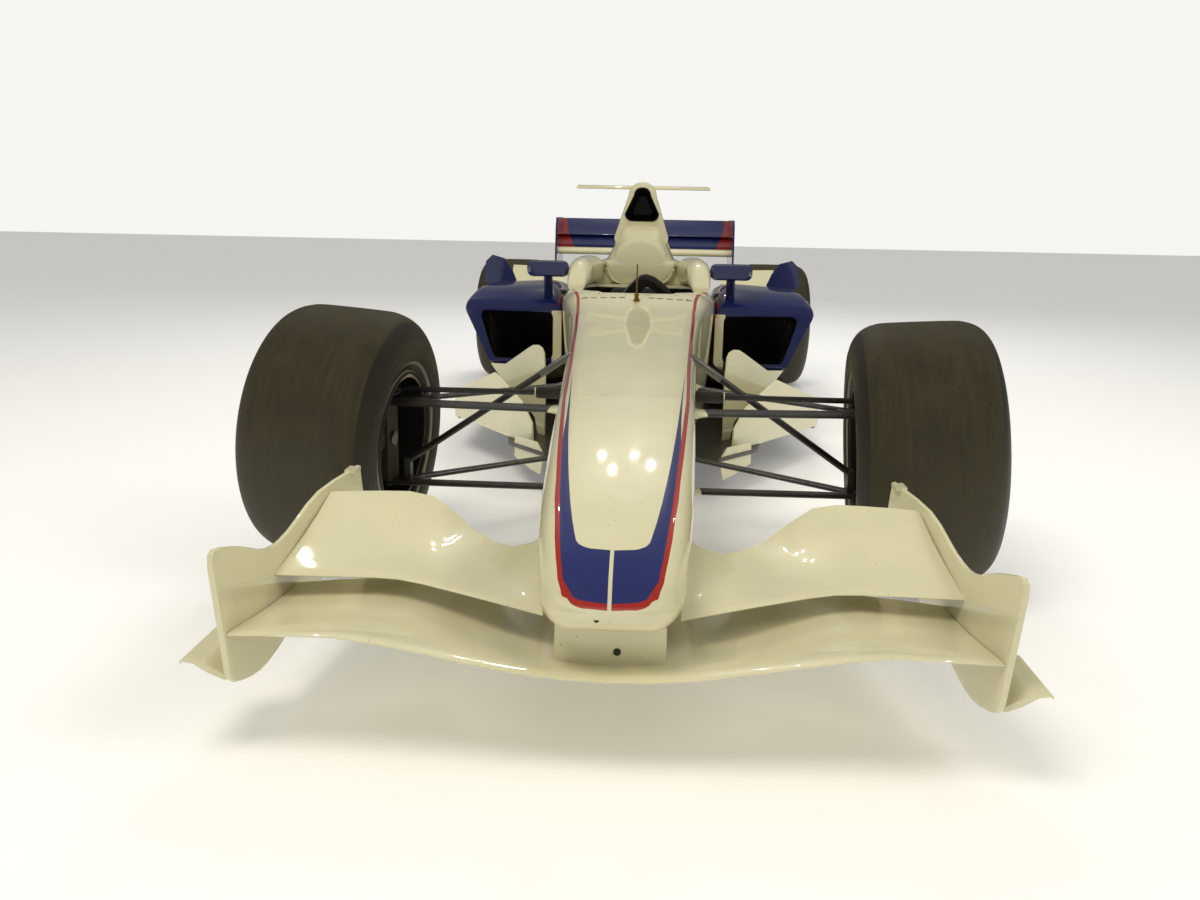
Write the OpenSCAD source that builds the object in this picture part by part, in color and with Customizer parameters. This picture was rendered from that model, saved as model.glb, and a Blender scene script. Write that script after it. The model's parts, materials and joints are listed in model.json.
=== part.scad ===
// Open wheel racing car. Millimetres, +Z up, the car faces -Y and +X is its left side.
// Stations along the car are counted from a datum just behind the front axle, positive towards the rear,
// and body heights from 63 mm below the flat underside; the whole body is lifted to its ride height at the end.

/* [Chassis] */
// Distance between the front and rear axles
wheelbase = 3130; // [2800:10:3400]
// Distance between the centres of the front tyres
track_front = 1480; // [1350:5:1550]
// Distance between the centres of the rear tyres
track_rear = 1410; // [1300:5:1500]
// Height of the flat underside above the road
ride_height = 87; // [50:1:100]
// Forward reach of the front wing ahead of the front axle
front_overhang = 1065; // [950:5:1200]
// Rearward reach of the rear wing behind the rear axle
rear_overhang = 475; // [400:5:550]
// Thickness of the shell of the driver's cell
shell_t = 22; // [12:1:30]

/* [Wheels] */
// Outer radius of every tyre
tyre_r = 328; // [300:1:340]
// Width of a front tyre
tyre_w_front = 340; // [300:1:355]
// Width of a rear tyre
tyre_w_rear = 380; // [340:1:400]
// Outer radius of the rim flanges
rim_r = 182; // [170:1:190]
// Inside radius of the rim barrel
barrel_r = 164; // [156:1:165]
// Inward lean of the tops of the front wheels
camber = 4; // [0:0.25:5]
// Radius of the brake discs
disc_r = 139; // [120:1:140]

/* [Steering] */
// Angle by which the front wheels are turned to the car's right at rest
steer_rest = 6.5; // [0:0.5:10]
// Distance from the kingpin to the centre of the front tyre
kingpin_offset = 110; // [95:1:120]
// Length of the steering arm behind the kingpin
steer_arm = 80; // [72:1:88]
// Turn of the steering wheel for one degree at the road wheels
steer_ratio = 8; // [6:0.5:10]
// Width of the steering wheel
wheel_w = 262; // [240:1:280]

/* [Body] */
// Half width of the car's sides at the sidepods
pod_hw = 690; // [620:5:700]
// Height of the intake above the driver's head, over the flat underside
airbox_h = 950; // [880:5:950]
// Half width of the driver's cell beside the seat
cell_hw = 290; // [270:2:310]

/* [Wings] */
// Width of the front wing
front_wing_w = 1400; // [1300:10:1400]
// Width of the rear wing
rear_wing_w = 1000; // [900:10:1000]
// Height of the top of the rear wing over the flat underside
rear_wing_h = 800; // [740:5:800]
// Thickness of the wing end plates
plate_t = 10; // [6:1:14]

/* [Hidden] */
$fn = 96;
gap = 0.3;
k = 4;
car_l = front_overhang + wheelbase + rear_overhang;
fy = -20;
yf = -car_l / 2 + front_overhang - fy;
yr = fy + wheelbase;
zf = 63;
lift = ride_height - zf;
hub_z = tyre_r * cos(camber) + (tyre_w_front / 2 - 100) * sin(camber) - lift;
hub_zr = tyre_r - lift;
king_x = track_front / 2 - kingpin_offset;
axle_r = 20;
run = 0.05;
rest_y = steer_arm * cos(steer_rest);
rest_x = steer_arm * sin(steer_rest);
top_z = zf + airbox_h;
wing_top = zf + rear_wing_h;

cream = [0.87, 0.85, 0.80];
navy = [0.05, 0.07, 0.24];
carbon = [0.07, 0.07, 0.08];
grey = [0.30, 0.30, 0.32];
metal = [0.62, 0.62, 0.64];
black = [0.04, 0.04, 0.045];
red = [0.62, 0.04, 0.06];

// ---- shape helpers ----

// Catmull-Rom value between b and c
function cr(a, b, c, d, t) =
  0.5 * (2 * b + (c - a) * t + (2 * a - 5 * b + 4 * c - d) * t * t + (3 * b - a - 3 * c + d) * t * t * t);

// Rows of stations refined m times with smooth curves
function spl(s, m) = let (n = len(s)) [
  for (i = [0:n - 2]) for (j = [0:m - 1])
    cr(s[max(i - 1, 0)], s[i], s[i + 1], s[min(i + 2, n - 1)], j / m),
  s[n - 1]
];

// Rounded section across the car: [station, bottom half width, top half width, bottom, top, radius]
function sec(s, cx = 0) = [
  for (c = [[1, -1, -90], [1, 1, 0], [-1, 1, 90], [-1, -1, 180]]) for (i = [0:k])
    let (a = c[2] + 90 * i / k, w = c[1] < 0 ? s[1] : s[2], r = min(s[5], w * 0.98, (s[4] - s[3]) * 0.49))
      [cx + c[0] * (w - r) + r * cos(a), s[0], (c[1] < 0 ? s[3] + r : s[4] - r) + r * sin(a)]
];

// Convex outline with rounded corners, as [x, z] corners counter-clockwise from the front
function rpoly(p, rad) = let (n = len(p)) [for (i = [0:n - 1])
  let (
    b = p[i], a = p[(i + n - 1) % n], c = p[(i + 1) % n],
    u = (a - b) / norm(a - b), v = (c - b) / norm(c - b), g = acos(u * v),
    t = min(rad / tan(g / 2), 0.46 * min(norm(a - b), norm(c - b))),
    r = t * tan(g / 2), m = b + (u + v) / norm(u + v) * r / sin(g / 2), s = b + u * t - m
  )
  for (j = [0:k]) let (w = (180 - g) * j / k) m + [s.x * cos(w) - s.y * sin(w), s.x * sin(w) + s.y * cos(w)]];

// Rounded four-corner section: [station, radius, x, z of the lower inner, lower outer, upper outer, upper inner corner]
function qsec(s) = [for (p = rpoly([[s[2], s[3]], [s[4], s[5]], [s[6], s[7]], [s[8], s[9]]], s[1])) [p.x, s[0], p.y]];

// Rounded section off the centreline: [station, inner x, outer x, bottom, top, radius]
function psec(s) = let (h = (s[2] - s[1]) / 2) sec([s[0], h, h, s[3], s[4], s[5]], (s[1] + s[2]) / 2);

// Aerofoil across X: [x, leading y, leading z, trailing y, trailing z, thickness, camber, x shift at the trailing edge]
function foil(s, m = 7) = let (dy = s[3] - s[1], dz = s[4] - s[2], c = norm([dy, dz]), ny = -dz / c, nz = dy / c)
  [for (i = [0:2 * m + 1])
    let (
      up = i <= m,
      t = up ? 1 - i / m : (i - m - 1) / m,
      q = t * t,
      h = max(s[5] * 1.45 * sqrt(q) * (1 - q) + 0.22 * s[5] * sqrt(q), 1.2) * (t == 0 ? 0.5 : 1),
      b = -s[6] * 4 * q * (1 - q),
      o = b + (up ? h : -h)
    )
    [s[0] + (len(s) > 7 ? s[7] * q : 0), s[1] + dy * q + ny * o, s[2] + dz * q + nz * o]];

// Closed skin through rings of equal length
module loft(rings, flip = false) {
  n = len(rings[0]);
  m = len(rings);
  function at(i, j) = i * n + j % n;
  function tri(t) = flip ? [t[2], t[1], t[0]] : t;
  polyhedron(
    points = [for (r = rings) each r],
    faces = [
      for (i = [0:m - 2]) for (j = [0:n - 1]) for (h = [0, 1])
        tri(h == 0 ? [at(i, j), at(i, j + 1), at(i + 1, j + 1)] : [at(i, j), at(i + 1, j + 1), at(i + 1, j)]),
      for (e = [0, m - 1]) for (i = [0:n / 2 - 2]) for (h = [0, 1])
        let (t = h == 0 ? [at(e, i), at(e, i + 1), at(e, n - 1 - i)] : [at(e, i + 1), at(e, n - 2 - i), at(e, n - 1 - i)])
          tri(e == 0 ? [t[2], t[1], t[0]] : t)
    ]
  );
}

// Streamlined arm between two points: chord c along the car, thickness t
module arm(p, q, c, t) {
  d = q - p;
  b = acos(d.z / norm(d));
  a = atan2(d.y, d.x);
  translate(p) rotate([0, b, a]) linear_extrude(norm(d))
    polygon([for (i = [0:15]) [t / 2 * cos(i * 22.5), c / 2 * sin(i * 22.5)]]);
}

// Round bar between two points
module bar(p, q, r) {
  d = q - p;
  translate(p) rotate([0, acos(d.z / norm(d)), atan2(d.y, d.x)]) cylinder(r = r, h = norm(d));
}

module block(lo, hi) translate(lo) cube(hi - lo);

module sides() {
  children();
  mirror([1, 0, 0]) children();
}

module car() translate([0, yf, lift]) children();

// Flat plate with an outline in the side view, from x0 to x0 + t
module side_plate(x0, t, pts) translate([x0, 0, 0]) rotate([90, 0, 90]) linear_extrude(t) polygon(pts);

// ---- driver's cell and nose ----

nose_y = -330;
nose_rows = [
  [-1078, 78, 68, 246, 290, 20], [-1060, 102, 92, 228, 316, 38], [-1000, 122, 119, 218, 348, 50],
  [-850, 134, 137, 220, 392, 50], [-600, 146, 149, 214, 442, 50], [nose_y, 156, 158, 196, 480, 50]
];
cell_rows = [
  [nose_y, 156, 158, 196, 480, 50], [0, 164, 171, 168, 515, 50], [300, 176, 186, 148, 540, 50],
  [700, 192, 211, 110, 572, 50], [880, 206, 229, 110, 602, 52], [980, 218, 246, 110, 620, 56],
  [1120, 242, 270, 110, 612, 52], [1300, 264, cell_hw, 110, 604, 52], [1640, 280, cell_hw, 110, 604, 52],
  [1800, 282, 276, 110, 598, 52]
];
function inset(r, t) = [r[0], r[1] - t, r[2] - t, r[3] + t, r[4] - t, max(r[5] - t, 8)];

open_rows = [[960, 120], [1040, 175], [1180, 205], [1500, 215], [1600, 185]];

module opening_cut(z0, z1) {
  p = spl(open_rows, 3);
  translate([0, 0, z0]) linear_extrude(z1 - z0)
    polygon(concat([for (r = p) [r[1], r[0]]], [for (i = [len(p) - 1:-1:0]) [-p[i][1], p[i][0]]]));
}

module cell_hollow() loft([for (r = spl([for (c = [for (i = [0:8]) cell_rows[i]])
  inset([min(max(c[0], nose_y + shell_t), 1640), c[1], c[2], c[3], c[4], c[5]], shell_t)], 2)) sec(r)]);

// Steering column through a bracket under the shell ahead of the wheel
module column(r, l0, l1) translate(wheel_c) rotate([-90 + column_tilt, 0, 0]) translate([0, 0, l0]) cylinder(r = r, h = l1 - l0);

module monocoque() color(cream) car() difference() {
  union() {
    difference() {
      loft([for (r = spl(cell_rows, 2)) sec(r)]);
      cell_hollow();
      opening_cut(420, 720);
    }
    block([-45, 884, 470], [45, 900, 596]);
    sides() difference() {
      bar([150, fy + rest_y, rack_z], [250, fy + rest_y, rack_z], rod_r + 6);
      cell_hollow();
    }
  }
  block([-400, 640, 0], [400, 1900, zf + 50 + gap]);
  column(column_r + gap, -400, 0);
  bar([-400, fy + rest_y, rack_z], [400, fy + rest_y, rack_z], rod_r + 2);
}

module nose_cone() color(cream) car() difference() {
  union() {
    loft([for (r = spl([for (r = nose_rows) r[0] == nose_y ? [r[0] - gap, r[1], r[2], r[3], r[4], r[5]] : r], 3)) sec(r)]);
    block([-94, -1015, 136], [94, -780, 240]);
  }
  main_plane();
}

module cockpit_surround() color(cream) car() sides()
  loft([for (r = spl([[1255, 200, 262, 604.4, 640, 14], [1330, 196, 268, 604.4, 700, 24],
    [1480, 190, 262, 604.4, 712, 26], [1640, 160, 250, 604.4, 716, 26]], 2)) psec(r)]);

module seat() color(carbon) car() difference() {
  loft([for (r = spl([[1000, 150, 160, 132.3, 220, 30], [1150, 190, 200, 132.3, 250, 40],
    [1350, 215, 225, 132.3, 350, 40], [1480, 215, 225, 132.3, 480, 40], [1600, 210, 215, 132.3, 560, 40]], 2)) sec(r)]);
  loft([for (r = spl([[990, 138, 148, 155, 300, 30], [1150, 178, 188, 155, 330, 40],
    [1350, 203, 213, 165, 450, 40], [1440, 203, 213, 220, 580, 40], [1570, 198, 203, 520, 700, 30]], 2)) sec(r)]);
}

// ---- bodywork behind the driver ----

air_rows = [
  [1706, 80, 30, 838.3, top_z - 8, 26], [1722, 86, 36, 838.3, top_z, 30], [1800, 88, 38, 838.3, top_z - 2, 30],
  [1960, 86, 36, 838.3, top_z - 24, 28]
];
module airbox() color(cream) car() difference() {
  loft([for (r = spl(air_rows, 2)) sec(r)]);
  loft([for (r = [[1690, 66, 22, 858, top_z - 18, 14], [1800, 64, 24, 860, top_z - 22, 14],
    [1900, 44, 20, 880, top_z - 50, 14]]) sec(r)]);
}

arch_rows = [
  [1628, 132, 66, 604.3, 781, 62], [1644, 142, 76, 604.3, 792, 62], [1700, 156, 86, 604.3, 838, 46],
  [1800, 170, 90, 604.5, 838, 44], [1961, 176, 80, 600, 838, 40]
];
spine_rows = [
  [1960.5, 170, 36, 600, top_z - 25, 28], [2250, 126, 26, 560, 902, 24], [2600, 84, 20, 490, 742, 18],
  [2900, 62, 16, 446, 592, 14], [3120, 48, 14, 424, 500, 12]
];
deck_rows = [
  [1662, 286, 200, 604.3, 646, 20], [1800, 296, 206, 604.5, 672, 34], [1990, 298, 190, 560, 664, 40],
  [2300, 286, 160, 520, 600, 40], [2600, 226, 110, 462, 536, 34], [2780, 188, 90, 436, 496, 26],
  [3100, 120, 60, 424, 466, 18]
];
module engine_cover() color(cream) car() difference() {
  union() {
    loft([for (r = spl(arch_rows, 2)) sec(r)]);
    loft([for (r = spl(spine_rows, 3)) sec(r)]);
    loft([for (r = spl(deck_rows, 3)) sec(r)]);
  }
  loft([for (r = spl([[1830, 276, 190, 540, 652, 30], [1990, 280, 174, 500, 646, 34], [2300, 268, 144, 440, 582, 34],
    [2600, 208, 94, 400, 518, 26], [2780, 170, 74, 400, 478, 20], [3130, 100, 44, 400, 446, 14]], 2)) sec(r)]);
  block([-300, 1690, 838], [300, 1960.2, 1100]);
  sides() bar(pipe_a, pipe_b + (pipe_b - pipe_a) / 2, 44);
}

pod_rows = [
  [1388, 20, 300, 306, 585, 306, 688, 528, 300, 514], [1404, 34, 300, 294, 578, 294, 700, 552, 300, 548],
  [1480, 60, 300, 268, 575, 264, 702, 584, 300, 598], [1600, 70, 300, 236, 585, 230, 698, 592, 300, 608],
  [1850, 80, 300, 160, 600, 150, pod_hw, 590, 300, 606], [2150, 85, 300, 108, 610, 108, 645, 562, 300, 584],
  [2400, 76, 292, 108, 500, 108, 515, 520, 292, 544], [2600, 56, 240, 108, 350, 108, 366, 468, 240, 490],
  [2760, 34, 204, 108, 248, 108, 262, 420, 204, 436]
];
duct_rows = [
  [1370, 20, 338, 322, 566, 322, 606, 500, 338, 498], [1404, 24, 330, 318, 566, 318, 636, 516, 330, 512],
  [1500, 40, 322, 290, 566, 286, 676, 560, 322, 572], [1700, 50, 322, 220, 578, 214, 672, 568, 322, 584],
  [1960, 50, 322, 160, 588, 150, 656, 552, 322, 576]
];
module pod() difference() {
  loft([for (r = spl(pod_rows, 3)) qsec(r)]);
  loft([for (r = spl(duct_rows, 2)) qsec(r)]);
  block([0, 1300, 0], [800, 2900, zf + 50 + gap]);
}
module sidepod_left() color(cream) car() pod();
module sidepod_right() color(cream) car() mirror([1, 0, 0]) pod();

module radiators() color(grey) car() sides()
  translate([322 + gap, 1760, 270]) rotate([24, 0, 0]) cube([240, 60, 240]);

floor_pts = [
  [60, 655], [190, 665], [285, 640], [425, 800], [458, 965], [548, 1112], [618, 1238], [684, 1244], [700, 1290],
  [700, 2480], [500, 2570], [500, 2785]
];
function both(p) = concat(p, [for (i = [len(p) - 1:-1:0]) [-p[i].x, p[i].y]]);
module floor() color(carbon) car() {
  translate([0, 0, zf + 38]) linear_extrude(12) polygon(both(floor_pts));
  translate([0, 0, zf]) linear_extrude(39) polygon(both([[85, 690], [150, 780], [150, 2785]]));
}

module plank() color([0.35, 0.26, 0.18]) car() translate([0, 0, zf - 10]) linear_extrude(10 - gap)
  polygon(both([[80, 705], [143, 790], [143, 2780]]));

module diffuser() color(carbon) car() {
  side_plate(-500, 1000, [[2785.3, 101], [3110, 180], [3330, 250], [3330, 262], [3110, 192], [2785.3, 113]]);
  for (x = [-500, -300, -120, 120, 300, 490]) side_plate(x, 8, [[2786, 66], [3300, 90], [3320, 246], [3110, 180], [2786, 101.5]]);
}

// Upright plate from a foot point in plan, turned to a heading; outline as run along the plate and height
module fence(foot, heading, t, pts) translate([foot.x, foot.y, 0]) rotate([90, 0, heading]) linear_extrude(t) polygon(pts);
board_z = zf + 50 + gap;

module bargeboards() color(cream) car() sides() {
  // tall vane beside the cell
  fence([326, 940], atan2(260, 215), 6, [[-20, board_z], [-24, 330], [-17, 404], [-4, 422], [22, 430], [50, 427], [71, 418],
    [237, 336], [345, 325], [275, 282], [114, 212], [40, 170], [20, board_z]]);
  // low deflector along the front edge of the floor
  fence([433, 886], atan2(365, 267), 6, [[-170, board_z], [-165, 190], [-94, 253], [-5, 287], [106, 326], [219, 288], [378, 235],
    [428, 204], [438, 150], [432, board_z]]);
  // short turning vane through the front edge of the floor
  fence([300, 672], atan2(160, 140), 5, [[-20, zf + 37.7], [150, zf + 37.7], [152, 67], [60, 42], [0, 34]]);
  fence([300, 672], atan2(160, 140), 5, [[-10, board_z], [19, 141], [146, 141], [152, board_z]]);
}

module mirrors() color(navy) car() sides() {
  loft([for (r = [[1335, 284, 416, 652, 700, 16], [1356, 270, 432, 644, 706, 24], [1404, 290, 412, 650, 700, 22]]) psec(r)]);
  arm([352, 1370, 652], [356, 1432, 556], 34, 9);
}

module sidepod_winglets() color(navy) car() sides()
  translate([0, 1935, 0]) rotate([90, 0, 0]) linear_extrude(14)
    polygon([[548, 590], [570, 640], [602, 686], [655, 700], [684, 672], [690, 580], [640, 576]]);

// Upswept panels ahead of the rear tyres
module rear_flicks() color(cream) car() sides()
  loft([for (x = [[388, 0], [500, 40], [660, 60]]) foil([x[0], 2420 + x[1], 470 + x[1] * 0.8, 2650, 610 + x[1] * 0.2, 10, 16])], true);

module mid_wing() color(cream) car() {
  loft([for (x = [-288, 0, 288]) foil([x, 1975, top_z - 20, 2105, top_z - 14, 8, 6])], true);
  block([-12, 1990, top_z - 60], [12, 2070, top_z - 18]);
}

module pitot_tube() color([0.55, 0.42, 0.2]) car() {
  cylinder_base = [0, 860, 585];
  bar(cylinder_base, cylinder_base + [0, 0, 36], 11);
  bar(cylinder_base, [0, 872, 716], 6);
  bar([0, 874, 716], [0, 790, 722], 3);
}

// ---- wings ----

main_rows = [
  [-627, -1065, 196, -760, 172, 14, 12, 12], [-450, -1070, 203, -740, 180, 16, 16, 0], [-300, -1074, 182, -730, 168, 18, 20, 0],
  [-150, -1080, 158, -720, 150, 20, 20, 0], [0, fy - front_overhang, 150, -715, 142, 20, 20, 0], [150, -1080, 158, -720, 150, 20, 20, 0],
  [300, -1074, 182, -730, 168, 18, 20, 0], [450, -1070, 203, -740, 180, 16, 16, 0], [627, -1065, 196, -760, 172, 14, 12, -12]
];
module main_plane() loft([for (r = spl(main_rows, 2)) foil(r)], true);
module front_wing_main() color(cream) car() main_plane();

module front_wing_flap() color(cream) car() sides()
  loft([for (r = spl([[625, -850, 222, -560, 300, 10, 12, -16], [500, -840, 220, -540, 300, 12, 16, 0], [400, -833, 216, -520, 286, 12, 18, 0],
    [300, -874, 214, -560, 222, 12, 14, 0], [200, -928, 214, -700, 240, 12, 10, 4], [118, -960, 208, -780, 292, 12, 6, 14]], 2)) foil(r)], false);

plate_rows = [
  [-1072, 620, 134, 318], [-1054, 620, 108, 340], [-960, 618, 84, 314], [-860, 615, 92, 277],
  [-760, 610, 120, 280], [-600, 599, 140, 314], [-425, 566, 150, 327]
];
function lean(r) = let (a = (r[2] - 110) * 0.087, b = (r[3] - 110) * 0.087)
  qsec([r[0], 4, r[1] + a, r[2], r[1] + plate_t + a, r[2], r[1] + plate_t + b, r[3], r[1] + b, r[3]]);
module front_wing_endplates() color(cream) car() sides() {
  loft([for (r = spl(plate_rows, 3)) lean(r)]);
  // foot curving outwards
  intersection() {
    translate([0, -800, 0]) rotate([90, 0, 0]) linear_extrude(400)
      polygon([[622, 112], [640, 112], [662, 128], [682, 148], [front_wing_w / 2 - 4, 154], [front_wing_w / 2, 150],
        [front_wing_w / 2, 156], [680, 156], [655, 136], [640, 122], [622, 120]]);
    linear_extrude(300) polygon([[618, -1045], [front_wing_w / 2, -1083], [front_wing_w / 2, -930], [618, -880]]);
  }
  // folded lip on the rear fin
  translate([0, 0, 8]) block([582, -470, 310], [606, -428, 318]);
}

module rear_span(r) loft([for (x = [-rear_wing_w / 2 + plate_t + gap, rear_wing_w / 2 - plate_t - gap]) foil(concat([x], r))], true);
rear_te = yr + rear_overhang;

module rear_wing_main() color(navy) car() rear_span([rear_te - 345, wing_top - 173, rear_te - 135, wing_top - 103, 24, 28]);
module rear_wing_flap() color(navy) car() rear_span([rear_te - 160, wing_top - 96, rear_te - 5, wing_top - 6, 15, 16]);
module rear_wing_endplates() color(navy) car() sides() side_plate(rear_wing_w / 2 - plate_t, plate_t,
  [[rear_te - 405, wing_top - 200], [rear_te - 375, wing_top - 40], [rear_te - 340, wing_top], [rear_te, wing_top],
    [rear_te, wing_top - 420], [rear_te - 60, 300], [rear_te - 405, 270]]);
module beam_wing() color(navy) car() beam();
module beam() rear_span([rear_te - 205, 398, rear_te - 45, 436, 18, 18]);

module crash_structure() color(carbon) car() difference() {
  union() {
    loft([for (r = [[3200 + gap, 60, 60, 262, 372, 20], [3552, 40, 40, 300, 360, 16]]) sec(r)]);
    block([-26, 3400, 340], [26, 3500, 420]);
  }
  beam();
}
module rain_light() color(red) car() block([-30, 3552 + gap, 310], [30, 3568, 350]);

// ---- engine and drivetrain ----

module engine() color(metal) car() block([-230, 1800 + gap, zf + 50 + gap], [230, 2400, 410]);
module gearbox() color(grey) car() {
  side_plate(-box_hw, 2 * box_hw, [[2400 + gap, 180], [2780, 200], [3110, 205], [3200, 240], [3200, 396], [2900, 404], [2400 + gap, 404]]);
}
box_hw = 90;
pipe_a = [180, 2350, 462];
pipe_b = [180, 2630, 580];
module exhausts() color(metal) car() sides() difference() {
  union() {
    bar(pipe_a, pipe_b, 38);
    translate([180, 2360, 410 + gap]) cylinder(r = 34, h = 44);
  }
  bar(pipe_a + (pipe_b - pipe_a) / 2, pipe_b + (pipe_b - pipe_a), 34);
}

// ---- suspension ----

arm_t = 13;
ball_up = [king_x, fy, 396];
ball_lo = [king_x, fy, 182];
pin_r = 8;
rod_r = 7.5;
eye_r = 15;
eye_h = 10;
steer_arm_z = ball_up.z + arm_t / 2 + 3;
steer_arm_t = 6;
rack_z = steer_arm_z + steer_arm_t + 0.5 + eye_h / 2;

module joint_disc(c) translate(c - [0, 0, arm_t / 2]) cylinder(r = 20, h = arm_t);

module front_wishbones_upper() color(carbon) car() sides() difference() {
  union() {
    arm([158, -90, 402], ball_up, 84, arm_t);
    arm([176, 330, 396], ball_up, 42, arm_t);
    joint_disc(ball_up);
  }
  translate(ball_up - [0, 0, 40]) cylinder(r = pin_r + run, h = 80);
}
module front_wishbones_lower() color(carbon) car() sides() {
  arm([154, -90, 200], ball_lo, 50, arm_t);
  arm([162, 430, 166], ball_lo, 42, arm_t);
  joint_disc(ball_lo);
  // clevis of the push rod
  block([king_x - 58, fy + 6, 182], [king_x - 42, fy + 38, 246]);
}
module front_pushrods() color(carbon) car() sides()
  arm([160, 152, 510], [king_x - 50, fy + 22, 236], 34, 16);

rear_x = track_rear / 2 - 100;
rup = [rear_x, yr, hub_zr + 96];
rlo = [rear_x, yr, hub_zr - 104];
module rear_wishbones_upper() color(carbon) car() sides() difference() {
  union() {
    arm([60, 2850, 385], rup, 42, arm_t);
    arm([60, 3180, 385], rup, 42, arm_t);
  }
  block([-box_hw - gap, 2400, 0], [box_hw + gap, 3300, 600]);
  block([rear_x - 25 - gap, yr - 80, 0], [rear_x + 100, yr + 80, 600]);
}
module rear_wishbones_lower() color(carbon) car() sides() difference() {
  union() {
    arm([60, 2830, 226], rlo, 42, arm_t);
    arm([60, 3170, 262], rlo, 42, arm_t);
  }
  block([-box_hw - gap, 2400, 0], [box_hw + gap, 3300, 600]);
  block([rear_x - 25 - gap, yr - 80, 0], [rear_x + 100, yr + 80, 600]);
}
module rear_links() color(carbon) car() sides() difference() {
  union() {
    arm([60, 2960, 398], rlo + [0, -36, 22], 30, 14);
    arm([60, 3176, 324], [rear_x, yr + 40, 324], 22, 12);
  }
  block([-box_hw - gap, 2400, 0], [box_hw + gap, 3300, 600]);
  block([rear_x - 25 - gap, yr - 80, 0], [rear_x + 100, yr + 80, 600]);
}
module rear_uprights() color(grey) car() sides() difference() {
  block([rear_x - 25, yr - 50, hub_zr - 118], [rear_x + 25, yr + 50, hub_zr + 108]);
  translate([0, yr, hub_zr]) rotate([0, 90, 0]) cylinder(r = axle_r + run, h = 2000);
}

// ---- wheels, in their own frames: the axle runs along X, outboard is +X ----

module tyre(w) rotate([0, 90, 0]) rotate_extrude($fn = 180) let (h = w / 2, a = rim_r - 12)
  polygon([[a, -h + 30], [rim_r + 4, -h + 22], [rim_r + 24, -h + 6], [tyre_r - 94, -h], [tyre_r - 62, -h + 3],
    [tyre_r - 36, -h + 14], [tyre_r - 16, -h + 33], [tyre_r - 4, -h + 62], [tyre_r, -h + 100], [tyre_r, h - 100],
    [tyre_r - 4, h - 62], [tyre_r - 16, h - 33], [tyre_r - 36, h - 14], [tyre_r - 62, h - 3], [tyre_r - 94, h],
    [rim_r + 24, h - 6], [rim_r + 4, h - 22], [a, h - 30]]);

module rim(w) {
  a = rim_r - 12 - gap;
  rotate([0, 90, 0]) rotate_extrude($fn = 120)
    polygon([[barrel_r, -w / 2 + 14], [rim_r, -w / 2 + 14], [rim_r, -w / 2 + 21], [a, -w / 2 + 29], [a, w / 2 - 29],
      [rim_r, w / 2 - 21], [rim_r, w / 2 - 14], [barrel_r, w / 2 - 14]]);
  difference() {
    rotate([0, 90, 0]) cylinder(r = barrel_r + 2, h = 20);
    translate([-1, 0, 0]) rotate([0, 90, 0]) cylinder(r = axle_r + 12 + gap, h = 40);
    for (i = [0:9]) rotate([36 * i, 0, 0]) translate([-1, 0, 0]) rotate([90, 0, 90]) linear_extrude(30)
      polygon([[55, -9], [145, -32], [145, 32], [55, 9]]);
  }
}

module hub(inner) {
  rotate([0, 90, 0]) translate([0, 0, inner]) cylinder(r = axle_r, h = 60 - inner);
  rotate([0, 90, 0]) translate([0, 0, -1]) cylinder(r = axle_r + 12, h = 56);
  rotate([0, 90, 0]) translate([0, 0, -52]) cylinder(r = 60, h = 51.7);
  rotate([0, 90, 0]) translate([0, 0, -52]) difference() {
    cylinder(r = disc_r, h = 28);
    translate([0, 0, -1]) cylinder(r = 92, h = 40);
  }
  for (i = [0:7]) rotate([45 * i, 0, 0]) translate([-45, -7, 50]) cube([14, 14, 50]);
}

// Frame of the leaning front wheel seen from the kingpin; at the wheel's centre when placed
module leaning(placed) translate([kingpin_offset, 0, 0]) rotate([0, -camber, 0]) translate([placed ? 0 : -kingpin_offset, 0, 0]) children();
module at_front(s) car() mirror([s < 0 ? 1 : 0, 0, 0])
  translate([king_x, fy, hub_z]) rotate([0, 0, s < 0 ? steer_rest : -steer_rest]) leaning(true) children();
module at_rear(s) car() mirror([s < 0 ? 1 : 0, 0, 0]) translate([track_rear / 2, yr, hub_zr]) children();

module tyre_front_left() color(black) at_front(1) tyre(tyre_w_front);
module tyre_front_right() color(black) at_front(-1) tyre(tyre_w_front);
module tyre_rear_left() color(black) at_rear(1) tyre(tyre_w_rear);
module tyre_rear_right() color(black) at_rear(-1) tyre(tyre_w_rear);
module rim_front_left() color(grey) at_front(1) rim(tyre_w_front);
module rim_front_right() color(grey) at_front(-1) rim(tyre_w_front);
module rim_rear_left() color(grey) at_rear(1) rim(tyre_w_rear);
module rim_rear_right() color(grey) at_rear(-1) rim(tyre_w_rear);
module hub_front_left() color(metal) at_front(1) hub(-kingpin_offset - 24);
module hub_front_right() color(metal) at_front(-1) hub(-kingpin_offset - 24);
module hub_rear_left() color(metal) at_rear(1) hub(-track_rear / 2 + box_hw + 1);
module hub_rear_right() color(metal) at_rear(-1) hub(-track_rear / 2 + box_hw + 1);

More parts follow.
